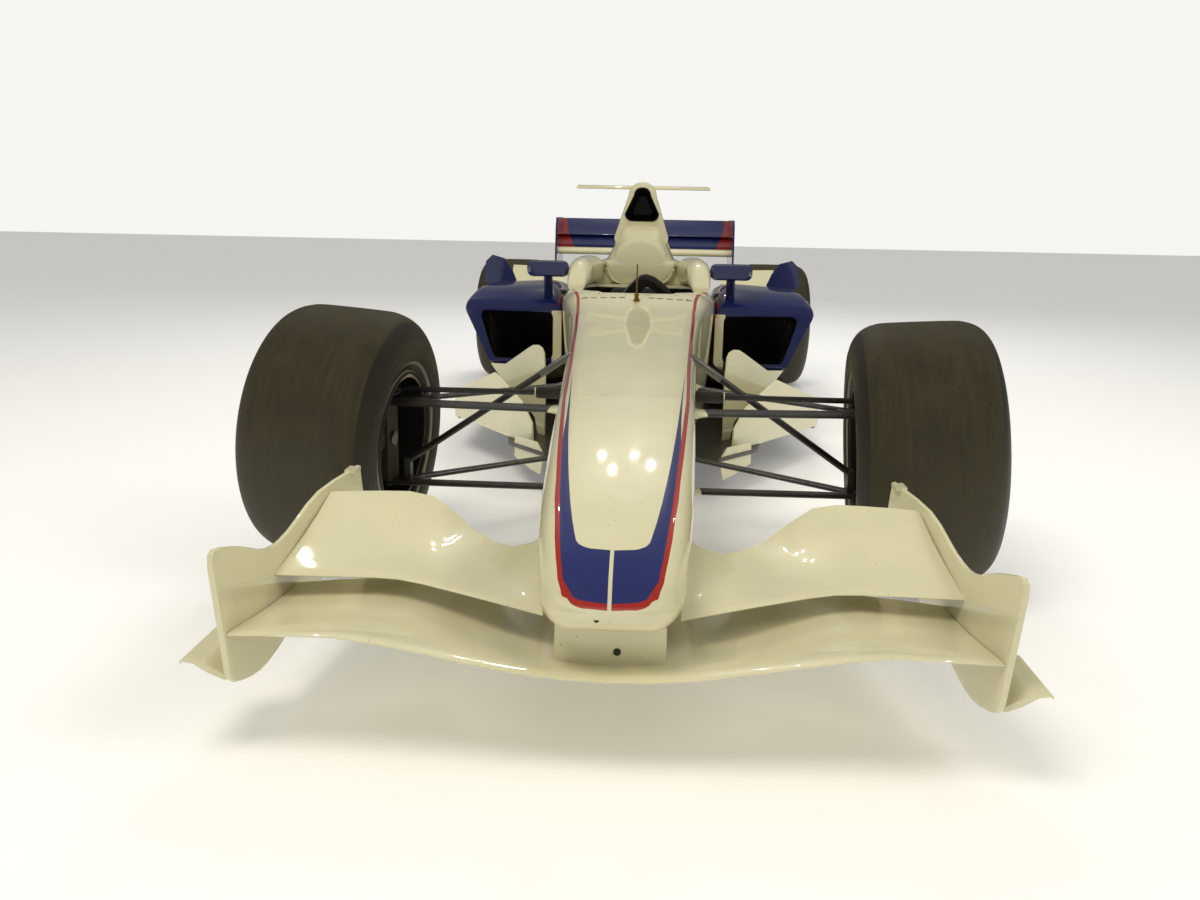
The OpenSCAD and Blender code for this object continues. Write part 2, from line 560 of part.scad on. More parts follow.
// Front upright about its kingpin, with the caliper and the steering arm
module upright() {
  lo = ball_lo.z + arm_t / 2 + 1.5 - hub_z;
  hi = ball_up.z - arm_t / 2 - gap - hub_z;
  sa = steer_arm_z - hub_z;
  difference() {
    union() {
      block([-16, -38, lo], [16, 38, hi]);
      leaning(false) block([-10, -120, -20], [46, -20, 20]);
      leaning(false) block([kingpin_offset - 70, -146, -42], [kingpin_offset - 6, -98, 42]);
    }
    leaning(false) translate([-60, 0, 0]) rotate([0, 90, 0]) cylinder(r = axle_r + run, h = 140);
    leaning(false) translate([kingpin_offset - 58, 0, 0]) rotate([0, 90, 0]) cylinder(r = disc_r + 5, h = 40);
  }
  translate([0, 0, hi - 1]) cylinder(r = pin_r, h = sa - hi + 2);
  translate([0, 0, sa]) cylinder(r = 16, h = steer_arm_t);
  block([-10, 0, sa], [10, steer_arm, sa + steer_arm_t]);
  translate([0, steer_arm, sa]) cylinder(r = 10, h = steer_arm_t);
  translate([0, steer_arm, sa + 1]) cylinder(r = 5, h = steer_arm_t + eye_h);
}

module at_king(s) car() mirror([s < 0 ? 1 : 0, 0, 0])
  translate([king_x, fy, hub_z]) rotate([0, 0, s < 0 ? steer_rest : -steer_rest]) children();
module upright_front_left() color(grey) at_king(1) upright();
module upright_front_right() color(grey) at_king(-1) upright();

module steering_rack() color(carbon) car() translate([rest_x, fy + rest_y, rack_z]) {
  for (s = [1, -1]) difference() {
    union() {
      translate([s * king_x, 0, -eye_h / 2]) cylinder(r = eye_r, h = eye_h);
      bar([s * 90, 0, 0], [s * (king_x - 12), 0, 0], rod_r);
    }
    translate([s * king_x, 0, -20]) cylinder(r = 9.5, h = 40);
  }
  bar([-95, 0, 0], [95, 0, 0], 16);
}

wheel_c = [0, 1075, 545];
column_tilt = 14;
column_r = 16;
module steering_wheel() color(carbon) car() {
  translate(wheel_c) rotate([-90 + column_tilt, 0, 0]) rotate([0, 0, -steer_rest * steer_ratio]) {
    difference() {
      linear_extrude(26) squircle(wheel_w / 2, 80, 0.55);
      for (s = [1, -1]) translate([s * 74, 0, -1]) linear_extrude(40) squircle(22, 34, 0.6);
    }
  }
  column(column_r, -190, 1);
}
function pw(v, e) = sign(v) * pow(abs(v), e);
module squircle(a, b, e) polygon([for (i = [0:31]) [a * pw(cos(i * 11.25), e), b * pw(sin(i * 11.25), e)]]);

monocoque();
nose_cone();
cockpit_surround();
seat();
airbox();
engine_cover();
sidepod_left();
sidepod_right();
radiators();
floor();
plank();
diffuser();
bargeboards();
mirrors();
sidepod_winglets();
rear_flicks();
mid_wing();
pitot_tube();
front_wing_main();
front_wing_flap();
front_wing_endplates();
rear_wing_main();
rear_wing_flap();
rear_wing_endplates();
beam_wing();
crash_structure();
rain_light();
engine();
gearbox();
exhausts();
front_wishbones_upper();
front_wishbones_lower();
front_pushrods();
rear_wishbones_upper();
rear_wishbones_lower();
rear_links();
rear_uprights();
upright_front_left();
upright_front_right();
tyre_front_left();
tyre_front_right();
tyre_rear_left();
tyre_rear_right();
rim_front_left();
rim_front_right();
rim_rear_left();
rim_rear_right();
hub_front_left();
hub_front_right();
hub_rear_left();
hub_rear_right();
steering_rack();
steering_wheel();
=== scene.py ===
"""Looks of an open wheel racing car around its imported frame. Metres, +Z up, the nose points towards -Y."""

import json
import logging
import math
from dataclasses import dataclass
from enum import Enum
from typing import Iterable, Sequence

import bmesh
import bpy
from mathutils import Matrix, Vector
from mathutils.bvhtree import BVHTree

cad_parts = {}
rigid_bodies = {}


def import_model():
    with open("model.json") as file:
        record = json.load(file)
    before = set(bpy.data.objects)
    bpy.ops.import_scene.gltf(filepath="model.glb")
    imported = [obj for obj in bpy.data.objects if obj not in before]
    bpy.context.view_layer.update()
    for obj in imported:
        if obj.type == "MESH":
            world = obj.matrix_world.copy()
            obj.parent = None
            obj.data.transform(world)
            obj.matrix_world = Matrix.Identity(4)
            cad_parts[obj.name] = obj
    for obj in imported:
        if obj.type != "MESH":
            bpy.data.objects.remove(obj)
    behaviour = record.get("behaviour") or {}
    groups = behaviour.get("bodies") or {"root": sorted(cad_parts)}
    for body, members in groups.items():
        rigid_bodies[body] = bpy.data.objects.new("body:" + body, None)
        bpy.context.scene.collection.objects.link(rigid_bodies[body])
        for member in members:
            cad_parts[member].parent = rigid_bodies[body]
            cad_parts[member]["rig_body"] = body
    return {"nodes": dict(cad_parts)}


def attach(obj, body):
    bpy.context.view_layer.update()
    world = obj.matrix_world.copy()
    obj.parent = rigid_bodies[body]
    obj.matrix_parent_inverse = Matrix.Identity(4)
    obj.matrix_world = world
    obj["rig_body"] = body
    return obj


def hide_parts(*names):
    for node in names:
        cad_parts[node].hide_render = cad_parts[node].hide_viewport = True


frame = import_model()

log = logging.getLogger("racing_car")
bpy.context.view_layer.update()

# Stations along the car are written in millimetres from a datum behind the front axle, as a body draughtsman does
DATUM_Y = -1250.0
LIFT = 24.0
SIDES = (1, -1)


def at(x: float, y: float, z: float) -> Vector:
    """Turns a station point in millimetres into the shared frame.

    Args:
        x: distance to the car's left of its centre plane.
        y: station along the car.
        z: height over the body datum.

    Returns:
        The point in metres.
    """
    return Vector((x, y + DATUM_Y, z + LIFT)) / 1000.0


def polar(x: float, radius: float, angle: float) -> Vector:
    """Turns a place along X, a radius and an angle, in millimetres and radians, into metres."""
    return Vector((x, radius * math.cos(angle), radius * math.sin(angle))) / 1000


def linked(name: str, data: bpy.types.ID) -> bpy.types.Object:
    """Makes an object from its data and links it to the scene."""
    item = bpy.data.objects.new(name, data)
    bpy.context.scene.collection.objects.link(item)
    return item


def srgb(code: str) -> tuple[float, float, float, float]:
    """Turns an sRGB hex colour into linear light.

    Args:
        code: six hex digits.

    Returns:
        Linear red, green, blue and alpha.
    """
    parts = [int(code[i : i + 2], 16) / 255.0 for i in (0, 2, 4)]
    return (*[c / 12.92 if c <= 0.04045 else ((c + 0.055) / 1.055) ** 2.4 for c in parts], 1.0)


def add(tree: bpy.types.NodeTree, kind: str, inputs: dict | None = None, **settings) -> bpy.types.Node:
    """Adds a node with its settings and links.

    Args:
        tree: the node tree.
        kind: the node's class name.
        inputs: values, sockets or nodes by input name or number.
        **settings: properties of the node.

    Returns:
        The new node.
    """
    node = tree.nodes.new(kind)
    for key, value in settings.items():
        setattr(node, key, value)
    for key, value in (inputs or {}).items():
        if isinstance(value, bpy.types.Node):
            value = value.outputs[0]
        if isinstance(value, bpy.types.NodeSocket):
            tree.links.new(value, node.inputs[key])
        else:
            node.inputs[key].default_value = value
    return node


# ---------------------------------------------------------------- finishes

CREAM, NAVY, RED = "dcd6ae", "131d52", "a81d0c"
STRIPE_NAVY, WING_RED, BARE_COMPOSITE, CHIPPED = "1f2a66", "86160b", "131313", "4b4a45"

Value = float | bpy.types.Node | bpy.types.NodeSocket
Colour = str | bpy.types.NodeSocket
Pair = tuple[float, float]


class Graph:
    """A material's nodes, with short calls for the ones that the finishes share."""

    def __init__(self, material: bpy.types.Material) -> None:
        """Takes over a new material's shader and finds its object coordinates."""
        material.use_nodes = True
        self.tree = material.node_tree
        self.shader = self.tree.nodes["Principled BSDF"]
        self.place = add(self.tree, "ShaderNodeTexCoord")
        self.point = self.place.outputs["Object"]

    def fixed(self, values: dict[str, object]) -> None:
        """Sets constants on the shader's own sockets."""
        for name, value in values.items():
            self.shader.inputs[name].default_value = value

    def axes(self, vector: Value | None = None) -> list[bpy.types.NodeSocket]:
        """Gives X, Y and Z of a vector, or of the object coordinates."""
        return list(add(self.tree, "ShaderNodeSeparateXYZ", {0: self.point if vector is None else vector}).outputs)

    def math(self, operation: str, *values: Value, clamp: bool = False) -> bpy.types.Node:
        """Does arithmetic on one to three values."""
        return add(self.tree, "ShaderNodeMath", dict(enumerate(values)), operation=operation, use_clamp=clamp)

    def every(self, first: Value, *others: Value) -> Value:
        """Gives 1 where every flag is 1."""
        for other in others:
            first = self.math("MULTIPLY", first, other)
        return first

    def span(self, value: Value, reach: Pair, to: Pair = (0.0, 1.0)) -> bpy.types.Node:
        """Maps one reach of values to another, held at both ends."""
        ends = {"From Min": reach[0], "From Max": reach[1], "To Min": to[0], "To Max": to[1]}
        return add(self.tree, "ShaderNodeMapRange", {"Value": value, **ends})

    def noise(self, size: float, detail: float, roughness: float = 0.5, vector: Value | None = None) -> bpy.types.Node:
        """Makes noise with features of a size in metres."""
        source = self.point if vector is None else vector
        inputs = {"Vector": source, "Scale": 1 / size, "Detail": detail, "Roughness": roughness}
        return add(self.tree, "ShaderNodeTexNoise", inputs)

    def cells(self, size: float, randomness: float) -> bpy.types.Node:
        """Makes cells of a size in metres."""
        inputs = {"Vector": self.point, "Scale": 1 / size, "Randomness": randomness}
        return add(self.tree, "ShaderNodeTexVoronoi", inputs)

    def spread(self, scale: tuple, rotation: tuple = (0.0, 0.0, 0.0), vector: Value | None = None) -> bpy.types.Node:
        """Scales and turns a vector, or the object coordinates."""
        source = self.point if vector is None else vector
        return add(self.tree, "ShaderNodeMapping", {"Vector": source, "Rotation": rotation, "Scale": scale})

    def mix(self, share: Value, first: Colour, second: Colour) -> bpy.types.NodeSocket:
        """Mixes two colours, each a hex code or a socket."""
        a, b = (srgb(c) if isinstance(c, str) else c for c in (first, second))
        return add(self.tree, "ShaderNodeMix", {0: share, 6: a, 7: b}, data_type="RGBA").outputs[2]

    def toned(self, value: Value, colour: Colour) -> bpy.types.NodeSocket:
        """Makes a colour lighter or darker."""
        colour = srgb(colour) if isinstance(colour, str) else colour
        return add(self.tree, "ShaderNodeHueSaturation", {"Value": value, "Color": colour}).outputs[0]

    def finish(self, colour: Value, rough: Value | None, height: Value, strength: float, depth: float) -> None:
        """Links the shader's colour, its roughness if given, and its bump.

        Args:
            colour: the base colour.
            rough: the roughness, or None to keep the constant.
            height: the bump's height.
            strength: the bump's strength.
            depth: the bump's distance in metres.
        """
        bump = add(self.tree, "ShaderNodeBump", {"Height": height, "Strength": strength, "Distance": depth})
        for name, source in (("Base Color", colour), ("Roughness", rough), ("Normal", bump)):
            if isinstance(source, bpy.types.Node):
                source = source.outputs[0]
            if source is not None:
                self.tree.links.new(source, self.shader.inputs[name])


class Grain(Enum):
    """How a metal's surface was made, as the stretch of its marks along each axis."""

    BRUSHED = (0.05, 1.0, 1.0)
    MACHINED = (1.0, 0.2, 1.0)
    CAST = (1.0, 1.0, 1.0)


@dataclass(frozen=True)
class Finish:
    """A surface finish, made once and shared."""

    name: str
    slot: str
    colour: str
    roughness: float = 0.5

    def material(self) -> bpy.types.Material:
        """Gives the finish's material, building it the first time."""
        found = bpy.data.materials.get(self.name)
        if found is None:
            found = bpy.data.materials.new(self.name)
            graph = Graph(found)
            graph.fixed({"Base Color": srgb(self.colour), "Roughness": self.roughness})
            self.dress(graph)
        return found

    def dress(self, graph: Graph) -> None:
        """Adds the pattern of the finish."""


@dataclass(frozen=True)
class Lacquer(Finish):
    """Two-pack car lacquer over composite: a coloured base under a hard, sprayed clear coat with faint orange peel."""

    chips: float = 0.0

    def paint(self, graph: Graph) -> Colour:
        """Gives the colour before wear."""
        return self.colour

    def dress(self, graph: Graph) -> None:
        """Adds the clear coat, the peel, a slight unevenness of the colour and stone chips."""
        # cloudiness of the pigment over about 150 mm
        shade = graph.span(graph.noise(0.15, 3.0), (0.3, 0.7), (0.955, 1.03))
        colour = graph.toned(shade, self.paint(graph))
        # chips 1 to 2 mm across in cells of 14 mm, in about a third of the cells
        cell = graph.cells(0.014, 1.0)
        dot = graph.math("LESS_THAN", cell.outputs["Distance"], 0.07 * self.chips)
        pick = add(graph.tree, "ShaderNodeSeparateColor", {"Color": cell.outputs["Color"]})
        some = graph.math("LESS_THAN", pick.outputs["Red"], 0.35)
        colour = graph.mix(graph.every(dot, some), colour, CHIPPED)
        # road film makes patches about 60 mm across a little duller
        rough = graph.span(graph.noise(0.06, 6.0, 0.6), (0.35, 0.75), (self.roughness, self.roughness + 0.12))
        # orange peel is 2 to 3 mm across on the real thing and is drawn at 9 mm so that it shows
        graph.finish(colour, rough, graph.noise(0.009, 1.0), 0.03, 0.0006)
        graph.fixed({"Coat Weight": 1.0, "Coat Roughness": 0.045, "Coat IOR": 1.5})


@dataclass(frozen=True)
class StripedLacquer(Lacquer):
    """Lacquer with lines along the nose and the cell: edges are half widths by station, in millimetres."""

    start: float = 0.0
    end: float = 1.0
    red_outer: tuple = ()
    red_inner: tuple = ()
    navy_outer: tuple = ()
    navy_inner: tuple = ()

    def inside(self, graph: Graph, run: Value, half: Value, edge: tuple) -> bpy.types.Node:
        """Marks the part of the surface inboard of an edge.

        Args:
            graph: the material's nodes.
            run: the station from 0 at start to 1 at end.
            half: the distance from the centre plane.
            edge: pairs of station and half width in millimetres.

        Returns:
            A node that gives 1 inboard of the edge.
        """
        widest = 0.320
        line = add(graph.tree, "ShaderNodeFloatCurve", {"Value": run})
        curve = line.mapping.curves[0]
        span = self.end - self.start
        pairs = [((y - self.start) / span, x / (widest * 1000)) for y, x in edge]
        curve.points[0].location, curve.points[1].location = pairs[0], pairs[-1]
        for pair in pairs[1:-1]:
            curve.points.new(*pair)
        for point in curve.points:
            point.handle_type = "VECTOR"
        line.mapping.update()
        return graph.math("LESS_THAN", half, graph.math("MULTIPLY", line, widest))

    def paint(self, graph: Graph) -> Colour:
        """Gives the striped colour: a red line around a navy field around a cream panel."""
        x, y, z = graph.axes()
        half = graph.math("ABSOLUTE", x)
        # below the top of the tip, the height carries the station on around it
        fall = graph.math("MAXIMUM", graph.math("SUBTRACT", 0.314, z), 0.0)
        station = graph.math("SUBTRACT", y, graph.every(fall, graph.math("LESS_THAN", y, -2.25)))
        run = graph.span(station, ((self.start + DATUM_Y) / 1000, (self.end + DATUM_Y) / 1000))
        # the flanks and the underside stay plain
        top = graph.math("GREATER_THAN", z, graph.span(y, (-2.33, -1.58), (0.27, 0.40)))
        colour = self.colour
        for outer, inner, shade in ((self.navy_outer, self.navy_inner, STRIPE_NAVY),
                                    (self.red_outer, self.red_inner, RED)):
            edges = [self.inside(graph, run, half, edge) for edge in (outer, inner)]
            colour = graph.mix(graph.every(graph.math("SUBTRACT", *edges, clamp=True), top), colour, shade)
        if self.end > 0:
            # the inside of the cockpit is bare dark composite
            wide = graph.span(y, (-0.27, 0.39), (0.203, 0.266))
            tall = graph.span(y, (-0.55, -0.13), (0.575, 0.617))
            hollow = graph.every(graph.math("LESS_THAN", half, wide), graph.math("LESS_THAN", z, tall),
                                 graph.math("GREATER_THAN", z, 0.142), graph.math("GREATER_THAN", y, -0.33))
            colour = graph.mix(hollow, colour, BARE_COMPOSITE)
        # thin centre line down the tip
        thin = graph.math("LESS_THAN", half, 0.0032)
        front = graph.math("LESS_THAN", y, (-1004 + DATUM_Y) / 1000)
        return graph.mix(graph.every(thin, front), colour, self.colour)


@dataclass(frozen=True)
class PodLacquer(Lacquer):
    """Lacquer of the sidepods: navy, a red line inboard on the top, a cream belly under a red line."""

    def paint(self, graph: Graph) -> Colour:
        """Gives the colour of the sidepods."""
        x, y, z = graph.axes()
        half = graph.math("ABSOLUTE", x)
        # the belly's edge rises from the inlet's lower corner along the flank, then drops towards the rear
        climb = graph.span(y, (0.15, 0.50), (0.285, 0.47))
        fall = graph.span(y, (0.50, 1.15), (0.47, 0.16))
        rise = graph.math("SUBTRACT", z, graph.math("MINIMUM", climb, fall))
        colour = self.colour
        for height, shade in ((0.026, RED), (0.016, CREAM)):
            colour = graph.mix(graph.math("LESS_THAN", rise, height), colour, shade)
        # inner wall of the inlet beside the cell
        wall = graph.every(graph.math("LESS_THAN", half, 0.338), graph.math("LESS_THAN", z, 0.535))
        colour = graph.mix(wall, colour, CREAM)
        # red line along the inboard edge of the top
        lean = graph.axes(add(graph.tree, "ShaderNodeNewGeometry").outputs["Normal"])[2]
        band = graph.every(graph.math("LESS_THAN", half, 0.312), graph.math("GREATER_THAN", lean, 0.55),
                           graph.math("GREATER_THAN", z, 0.53))
        return graph.mix(band, colour, RED)


@dataclass(frozen=True)
class WingLacquer(Lacquer):
    """Lacquer of the rear wing: navy, red ends that widen downwards, and a cream leading edge."""

    lip: float = 0.0

    def paint(self, graph: Graph) -> Colour:
        """Gives the colour of the rear wing."""
        x, y, z = graph.axes()
        drop = graph.math("POWER", graph.span(z, (0.714, 0.887), (1.0, 0.0)), 1.7)
        start = graph.span(drop, (0.0, 1.0), (0.466, 0.398))
        ends = graph.math("GREATER_THAN", graph.math("ABSOLUTE", x), start)
        return graph.mix(graph.math("LESS_THAN", y, self.lip), graph.mix(ends, self.colour, WING_RED), CREAM)


@dataclass(frozen=True)
class CarbonTwill(Finish):
    """Carbon fibre in epoxy, laid as a 2 by 2 twill and left satin: dark grey squares that glint across each other."""

    tow: float = 6.0

    def dress(self, graph: Graph) -> None:
        """Adds the twill; tows are 2 to 3 mm wide on the real thing and are drawn wider so that they show."""
        size = 1 / (self.tow / 1000)
        turned = graph.spread((1.0, 1.0, 1.0), (0.4, 0.3, math.radians(45)))
        check = add(graph.tree, "ShaderNodeTexChecker", {"Vector": turned, "Scale": size})
        ribs = add(graph.tree, "ShaderNodeTexWave", {"Vector": turned, "Scale": size / 12, "Distortion": 1.0},
                   bands_direction="DIAGONAL")
        weave = graph.math("MULTIPLY_ADD", check.outputs["Fac"], ribs.outputs["Fac"], 0.2)
        # the checker lightens and darkens the colour square by square: the twill's pattern, with painted sheen of the
        # tows that catch the light by turns
        tone = graph.span(weave, (0.0, 1.0), (0.82, 1.25))
        tone = graph.math("MULTIPLY_ADD", tone, graph.noise(0.05, 5.0), 0.25)
        rough = graph.span(weave, (0.0, 1.0), (self.roughness - 0.08, self.roughness + 0.1))
        graph.finish(graph.toned(tone, self.colour), rough, weave, 0.12, 0.0003)
        graph.fixed({"Coat Weight": 0.35, "Coat Roughness": 0.2})


@dataclass(frozen=True)
class Rubber(Finish):
    """Slick racing rubber: brown-black, dull, scuffed around the tread, smoother and darker on the moulded wall."""

    scuffs: float = 1.0

    def dress(self, graph: Graph) -> None:
        """Adds scuffs that run around the tyre, from a UV map in metres, and dust in soft patches."""
        around = graph.spread((6.0, 70.0, 1.0), vector=graph.place.outputs["UV"])
        marks, dust, pores = graph.noise(1.0, 6.0, 0.65, around), graph.noise(0.07, 5.0), graph.noise(0.003, 2.0)
        wear = add(graph.tree, "ShaderNodeMix", {0: 0.4, 2: marks, 3: dust}, data_type="FLOAT")
        tone = graph.span(wear, (0.35, 0.68), (1 - 0.22 * self.scuffs, 1 + 0.35 * self.scuffs))
        rough = graph.span(wear, (0.3, 0.7), (self.roughness - 0.08, self.roughness + 0.12))
        height = graph.math("MULTIPLY_ADD", pores, 0.4, marks)
        graph.finish(graph.toned(tone, self.colour), rough, height, 0.25, 0.0006)
        graph.fixed({"Specular IOR Level": 0.45})


@dataclass(frozen=True)
class Metal(Finish):
    """Bare or coated metal."""

    grain: Grain = Grain.MACHINED
    grain_mm: float = 2.0
    metallic: float = 1.0

    def dress(self, graph: Graph) -> None:
        """Adds tool marks, brushing or a cast skin, and a light tarnish."""
        marks = graph.noise(self.grain_mm / 1000, 3.0, vector=graph.spread(self.grain.value))
        tone = graph.span(graph.noise(0.04, 5.0), (0.3, 0.7), (0.82, 1.1))
        rough = graph.span(marks, (0.3, 0.7), (self.roughness - 0.06, self.roughness + 0.14))
        graph.finish(graph.toned(tone, self.colour), rough, marks, 0.15, 0.0003)
        graph.fixed({"Metallic": self.metallic})


@dataclass(frozen=True)
class Cloth(Finish):
    """Woven polyester, as harness webbing and seat cloth: matt, with ribs across the strap and a soft sheen."""

    rib_mm: float = 3.0

    def dress(self, graph: Graph) -> None:
        """Adds the weave; yarns are 1 mm wide on the real thing and are drawn coarser so that they show."""
        inputs = {"Vector": graph.point, "Scale": 1 / (self.rib_mm / 1000)}
        check = add(graph.tree, "ShaderNodeTexChecker", inputs).outputs["Fac"]
        tone = graph.math("MULTIPLY_ADD", check, 0.18, 0.72)
        tone = graph.math("MULTIPLY_ADD", graph.noise(0.03, 4.0), 0.4, tone)
        graph.finish(graph.toned(tone, self.colour), None, check, 0.3, 0.0006)
        graph.fixed({"Sheen Weight": 0.25, "Sheen Roughness": 0.5})


@dataclass(frozen=True)
class Wood(Finish):
    """Resin-bonded beech laminate of the skid plank: brown layers."""

    def dress(self, graph: Graph) -> None:
        """Adds grain along the car, 4 mm wide."""
        grain = graph.noise(0.004, 5.0, vector=graph.spread((1.0, 0.03, 1.0)))
        graph.finish(graph.mix(grain, self.colour, "6e5a44"), None, grain, 0.3, 0.0005)


@dataclass(frozen=True)
class Lens(Finish):
    """Moulded acrylic lens: clear colour with a grid of small prisms."""

    def dress(self, graph: Graph) -> None:
        """Adds prisms 5 mm across."""
        prism = graph.cells(0.005, 0.0).outputs["Distance"]
        tone = graph.span(prism, (0.0, 1.0), (1.3, 0.6))
        graph.finish(graph.toned(tone, self.colour), None, prism, 0.5, 0.001)
        graph.fixed({"Coat Weight": 1.0})


# where the red line ends and the navy field begins, up to the station at which the two part
NOSE_LINE = ((-1110, 0), (-1090, 0), (-1088, 38), (-1083, 49), (-1078, 57), (-1070, 67), (-1058, 76), (-1020, 83.5),
             (-980, 88.5), (-925, 94), (-860, 100), (-785, 106), (-697, 112), (-593, 119))


class Finishes:
    """Every finish of the car."""

    cream = Lacquer("cream gloss lacquer", "body_paint", CREAM, 0.30, chips=1.0)
    nose = StripedLacquer(
        "striped nose lacquer", "body_paint", CREAM, 0.30, chips=1.0, start=-1110.0, end=-329.0,
        red_outer=((-1110, 0), (-1104, 0), (-1102, 40), (-1097, 53), (-1090, 61), (-1078, 68), (-1073, 76), (-1053, 85),
                   (-1015, 92), (-970, 98), (-915, 103), (-850, 110), (-770, 115), (-680, 122), (-577, 129),
                   (-430, 138),
                   (-329, 144)),
        red_inner=(*NOSE_LINE, (-464, 127), (-329, 136)),
        navy_outer=(*NOSE_LINE, (-464, 122.5), (-329, 128)),
        navy_inner=((-1110, 0), (-1006, 0), (-1004, 34), (-1000, 46), (-994, 55), (-985, 61), (-966, 65), (-928, 72),
                    (-865, 81), (-785, 90), (-705, 98), (-600, 107), (-488, 115), (-329, 125)),
    )
    cell = StripedLacquer(
        "striped cell lacquer", "body_paint", CREAM, 0.30, chips=0.6, start=-330.0, end=1830.0,
        red_outer=((-330, 144), (-306, 145), (0, 157), (585, 186), (745, 194), (900, 205), (1020, 224), (1112, 242),
                   (1255, 258), (1390, 300), (1830, 300)),
        red_inner=((-330, 136), (-307, 137), (0, 147), (585, 176), (745, 184), (900, 195), (1020, 214), (1112, 232),
                   (1255, 246), (1390, 286), (1830, 290)),
        navy_outer=((-330, 128), (-85, 140.5), (-60, 0), (1830, 0)),
        navy_inner=((-330, 125), (-85, 140), (-60, 0), (1830, 0)),
    )
    navy = Lacquer("navy gloss lacquer", "blue_paint", NAVY, 0.28, chips=0.5)
    pod = PodLacquer("sidepod lacquer", "blue_paint", NAVY, 0.28, chips=0.5)
    wing = WingLacquer("rear wing lacquer", "blue_paint", NAVY, 0.28, lip=(3240 + 38 + DATUM_Y) / 1000)
    flap = WingLacquer("rear flap lacquer", "blue_paint", NAVY, 0.28, lip=-9.0)
    carbon = CarbonTwill("satin carbon twill", "carbon", "312e26", 0.42)
    # also the black of the plates and linings that stand for holes, slots and ducts: painted shade
    black = CarbonTwill("black carbon and painted shade", "carbon", "101010", 0.6)
    tread = Rubber("slick tread rubber", "tyre", "37321f", 0.62)
    wall = Rubber("moulded sidewall rubber", "tyre", "25221a", 0.5, scuffs=0.5)
    ring = Rubber("pale moulded ring", "tyre", "8a8672", 0.6, scuffs=0.6)
    rim = Metal("anodised forged magnesium", "rim_metal", "34332f", 0.38, metallic=0.7)
    lip = Metal("bare rim flange", "alloy", "b9b7ac", 0.34)
    alloy = Metal("machined aluminium", "alloy", "a6a59c", 0.34)
    steel = Metal("ground steel", "steel", "8d8c86", 0.3, grain=Grain.BRUSHED)
    cast = Metal("dark cast housing", "dark_metal", "45423a", 0.5, grain=Grain.CAST, grain_mm=4.0, metallic=0.6)
    disc = Metal("carbon brake disc", "dark_metal", "2c2b29", 0.5, grain=Grain.CAST, grain_mm=3.0, metallic=0.2)
    brass = Metal("turned brass", "brass", "a8873f", 0.3)
    plank = Wood("laminated plank", "plank_wood", "4a3a2a", 0.75)
    lens = Lens("red acrylic lens", "red_lens", "7e1012", 0.25)
    mirror = Metal("silvered mirror", "steel", "d9d9d9", 0.08)
    belt = Cloth("harness webbing", "carbon", "1d1d20", 0.8)
    pad = Cloth("headrest cloth", "carbon", "26262a", 0.85, rib_mm=5.0)


# ---------------------------------------------------------------- shapes

Faces = list[tuple[int, ...]]


@dataclass
class Shape:
    """Points and faces of a piece, with an optional UV map in metres and a finish number for each face."""

    points: list[Vector]
    faces: Faces
    uvs: list[tuple[float, float]] | None = None
    marks: list[int] | None = None

    def moved(self, matrix: Matrix) -> "Shape":
        """Gives the shape in another place; a mirrored one keeps its faces outwards."""
        faces = [tuple(reversed(f)) for f in self.faces] if matrix.determinant() < 0 else self.faces
        return Shape([matrix @ p for p in self.points], faces, self.uvs, self.marks)

    @staticmethod
    def joined(shapes: Iterable["Shape"]) -> "Shape":
        """Puts several shapes in one."""
        points: list[Vector] = []
        faces: Faces = []
        for shape in shapes:
            n = len(points)
            points += shape.points
            faces += [tuple(i + n for i in f) for f in shape.faces]
        return Shape(points, faces)


def lathe(profile: Sequence[tuple[float, float]], steps: int = 96, marks: Sequence[int] | None = None) -> Shape:
    """Turns a closed outline about the X axis.

    Args:
        profile: pairs of place along the axis and radius in millimetres, going round the section.
        steps: divisions of the turn.
        marks: a finish number for each side of the outline.

    Returns:
        The turned shape, in metres.
    """
    n = len(profile)
    points, uvs = [], []
    run = [0.0]
    for a, b in zip(profile, profile[1:]):
        run.append(run[-1] + math.dist(a, b) / 1000)
    for i in range(steps):
        for j, (x, r) in enumerate(profile):
            points.append(polar(x, r, 2 * math.pi * i / steps))
            uvs.append((i / steps * 2.0, run[j]))
    faces, kinds = [], []
    for i in range(steps):
        for j in range(n):
            a, b = i * n, (i + 1) % steps * n
            faces.append((a + j, b + j, b + (j + 1) % n, a + (j + 1) % n))
            kinds.append(marks[j] if marks else 0)
    return Shape(points, faces, uvs, kinds)


def spline(a: float, b: float, c: float, d: float, t: float) -> float:
    """Gives a Catmull-Rom curve's value between b and c, at t from 0 to 1."""
    return 0.5 * (2 * b + (c - a) * t + (2 * a - 5 * b + 4 * c - d) * t * t + (3 * b - a - 3 * c + d) * t**3)


def rounded(profile: Sequence[tuple[float, float]], cuts: int) -> list[tuple[float, float]]:
    """Draws a smooth closed curve through an outline.

    Args:
        profile: corners of the outline.
        cuts: pieces that each side becomes.

    Returns:
        The points of the curve.
    """
    n, out = len(profile), []
    for i in range(n):
        near = [profile[(i + k) % n] for k in (-1, 0, 1, 2)]
        out += [tuple(spline(*(p[k] for p in near), j / cuts) for k in (0, 1)) for j in range(cuts)]
    return out


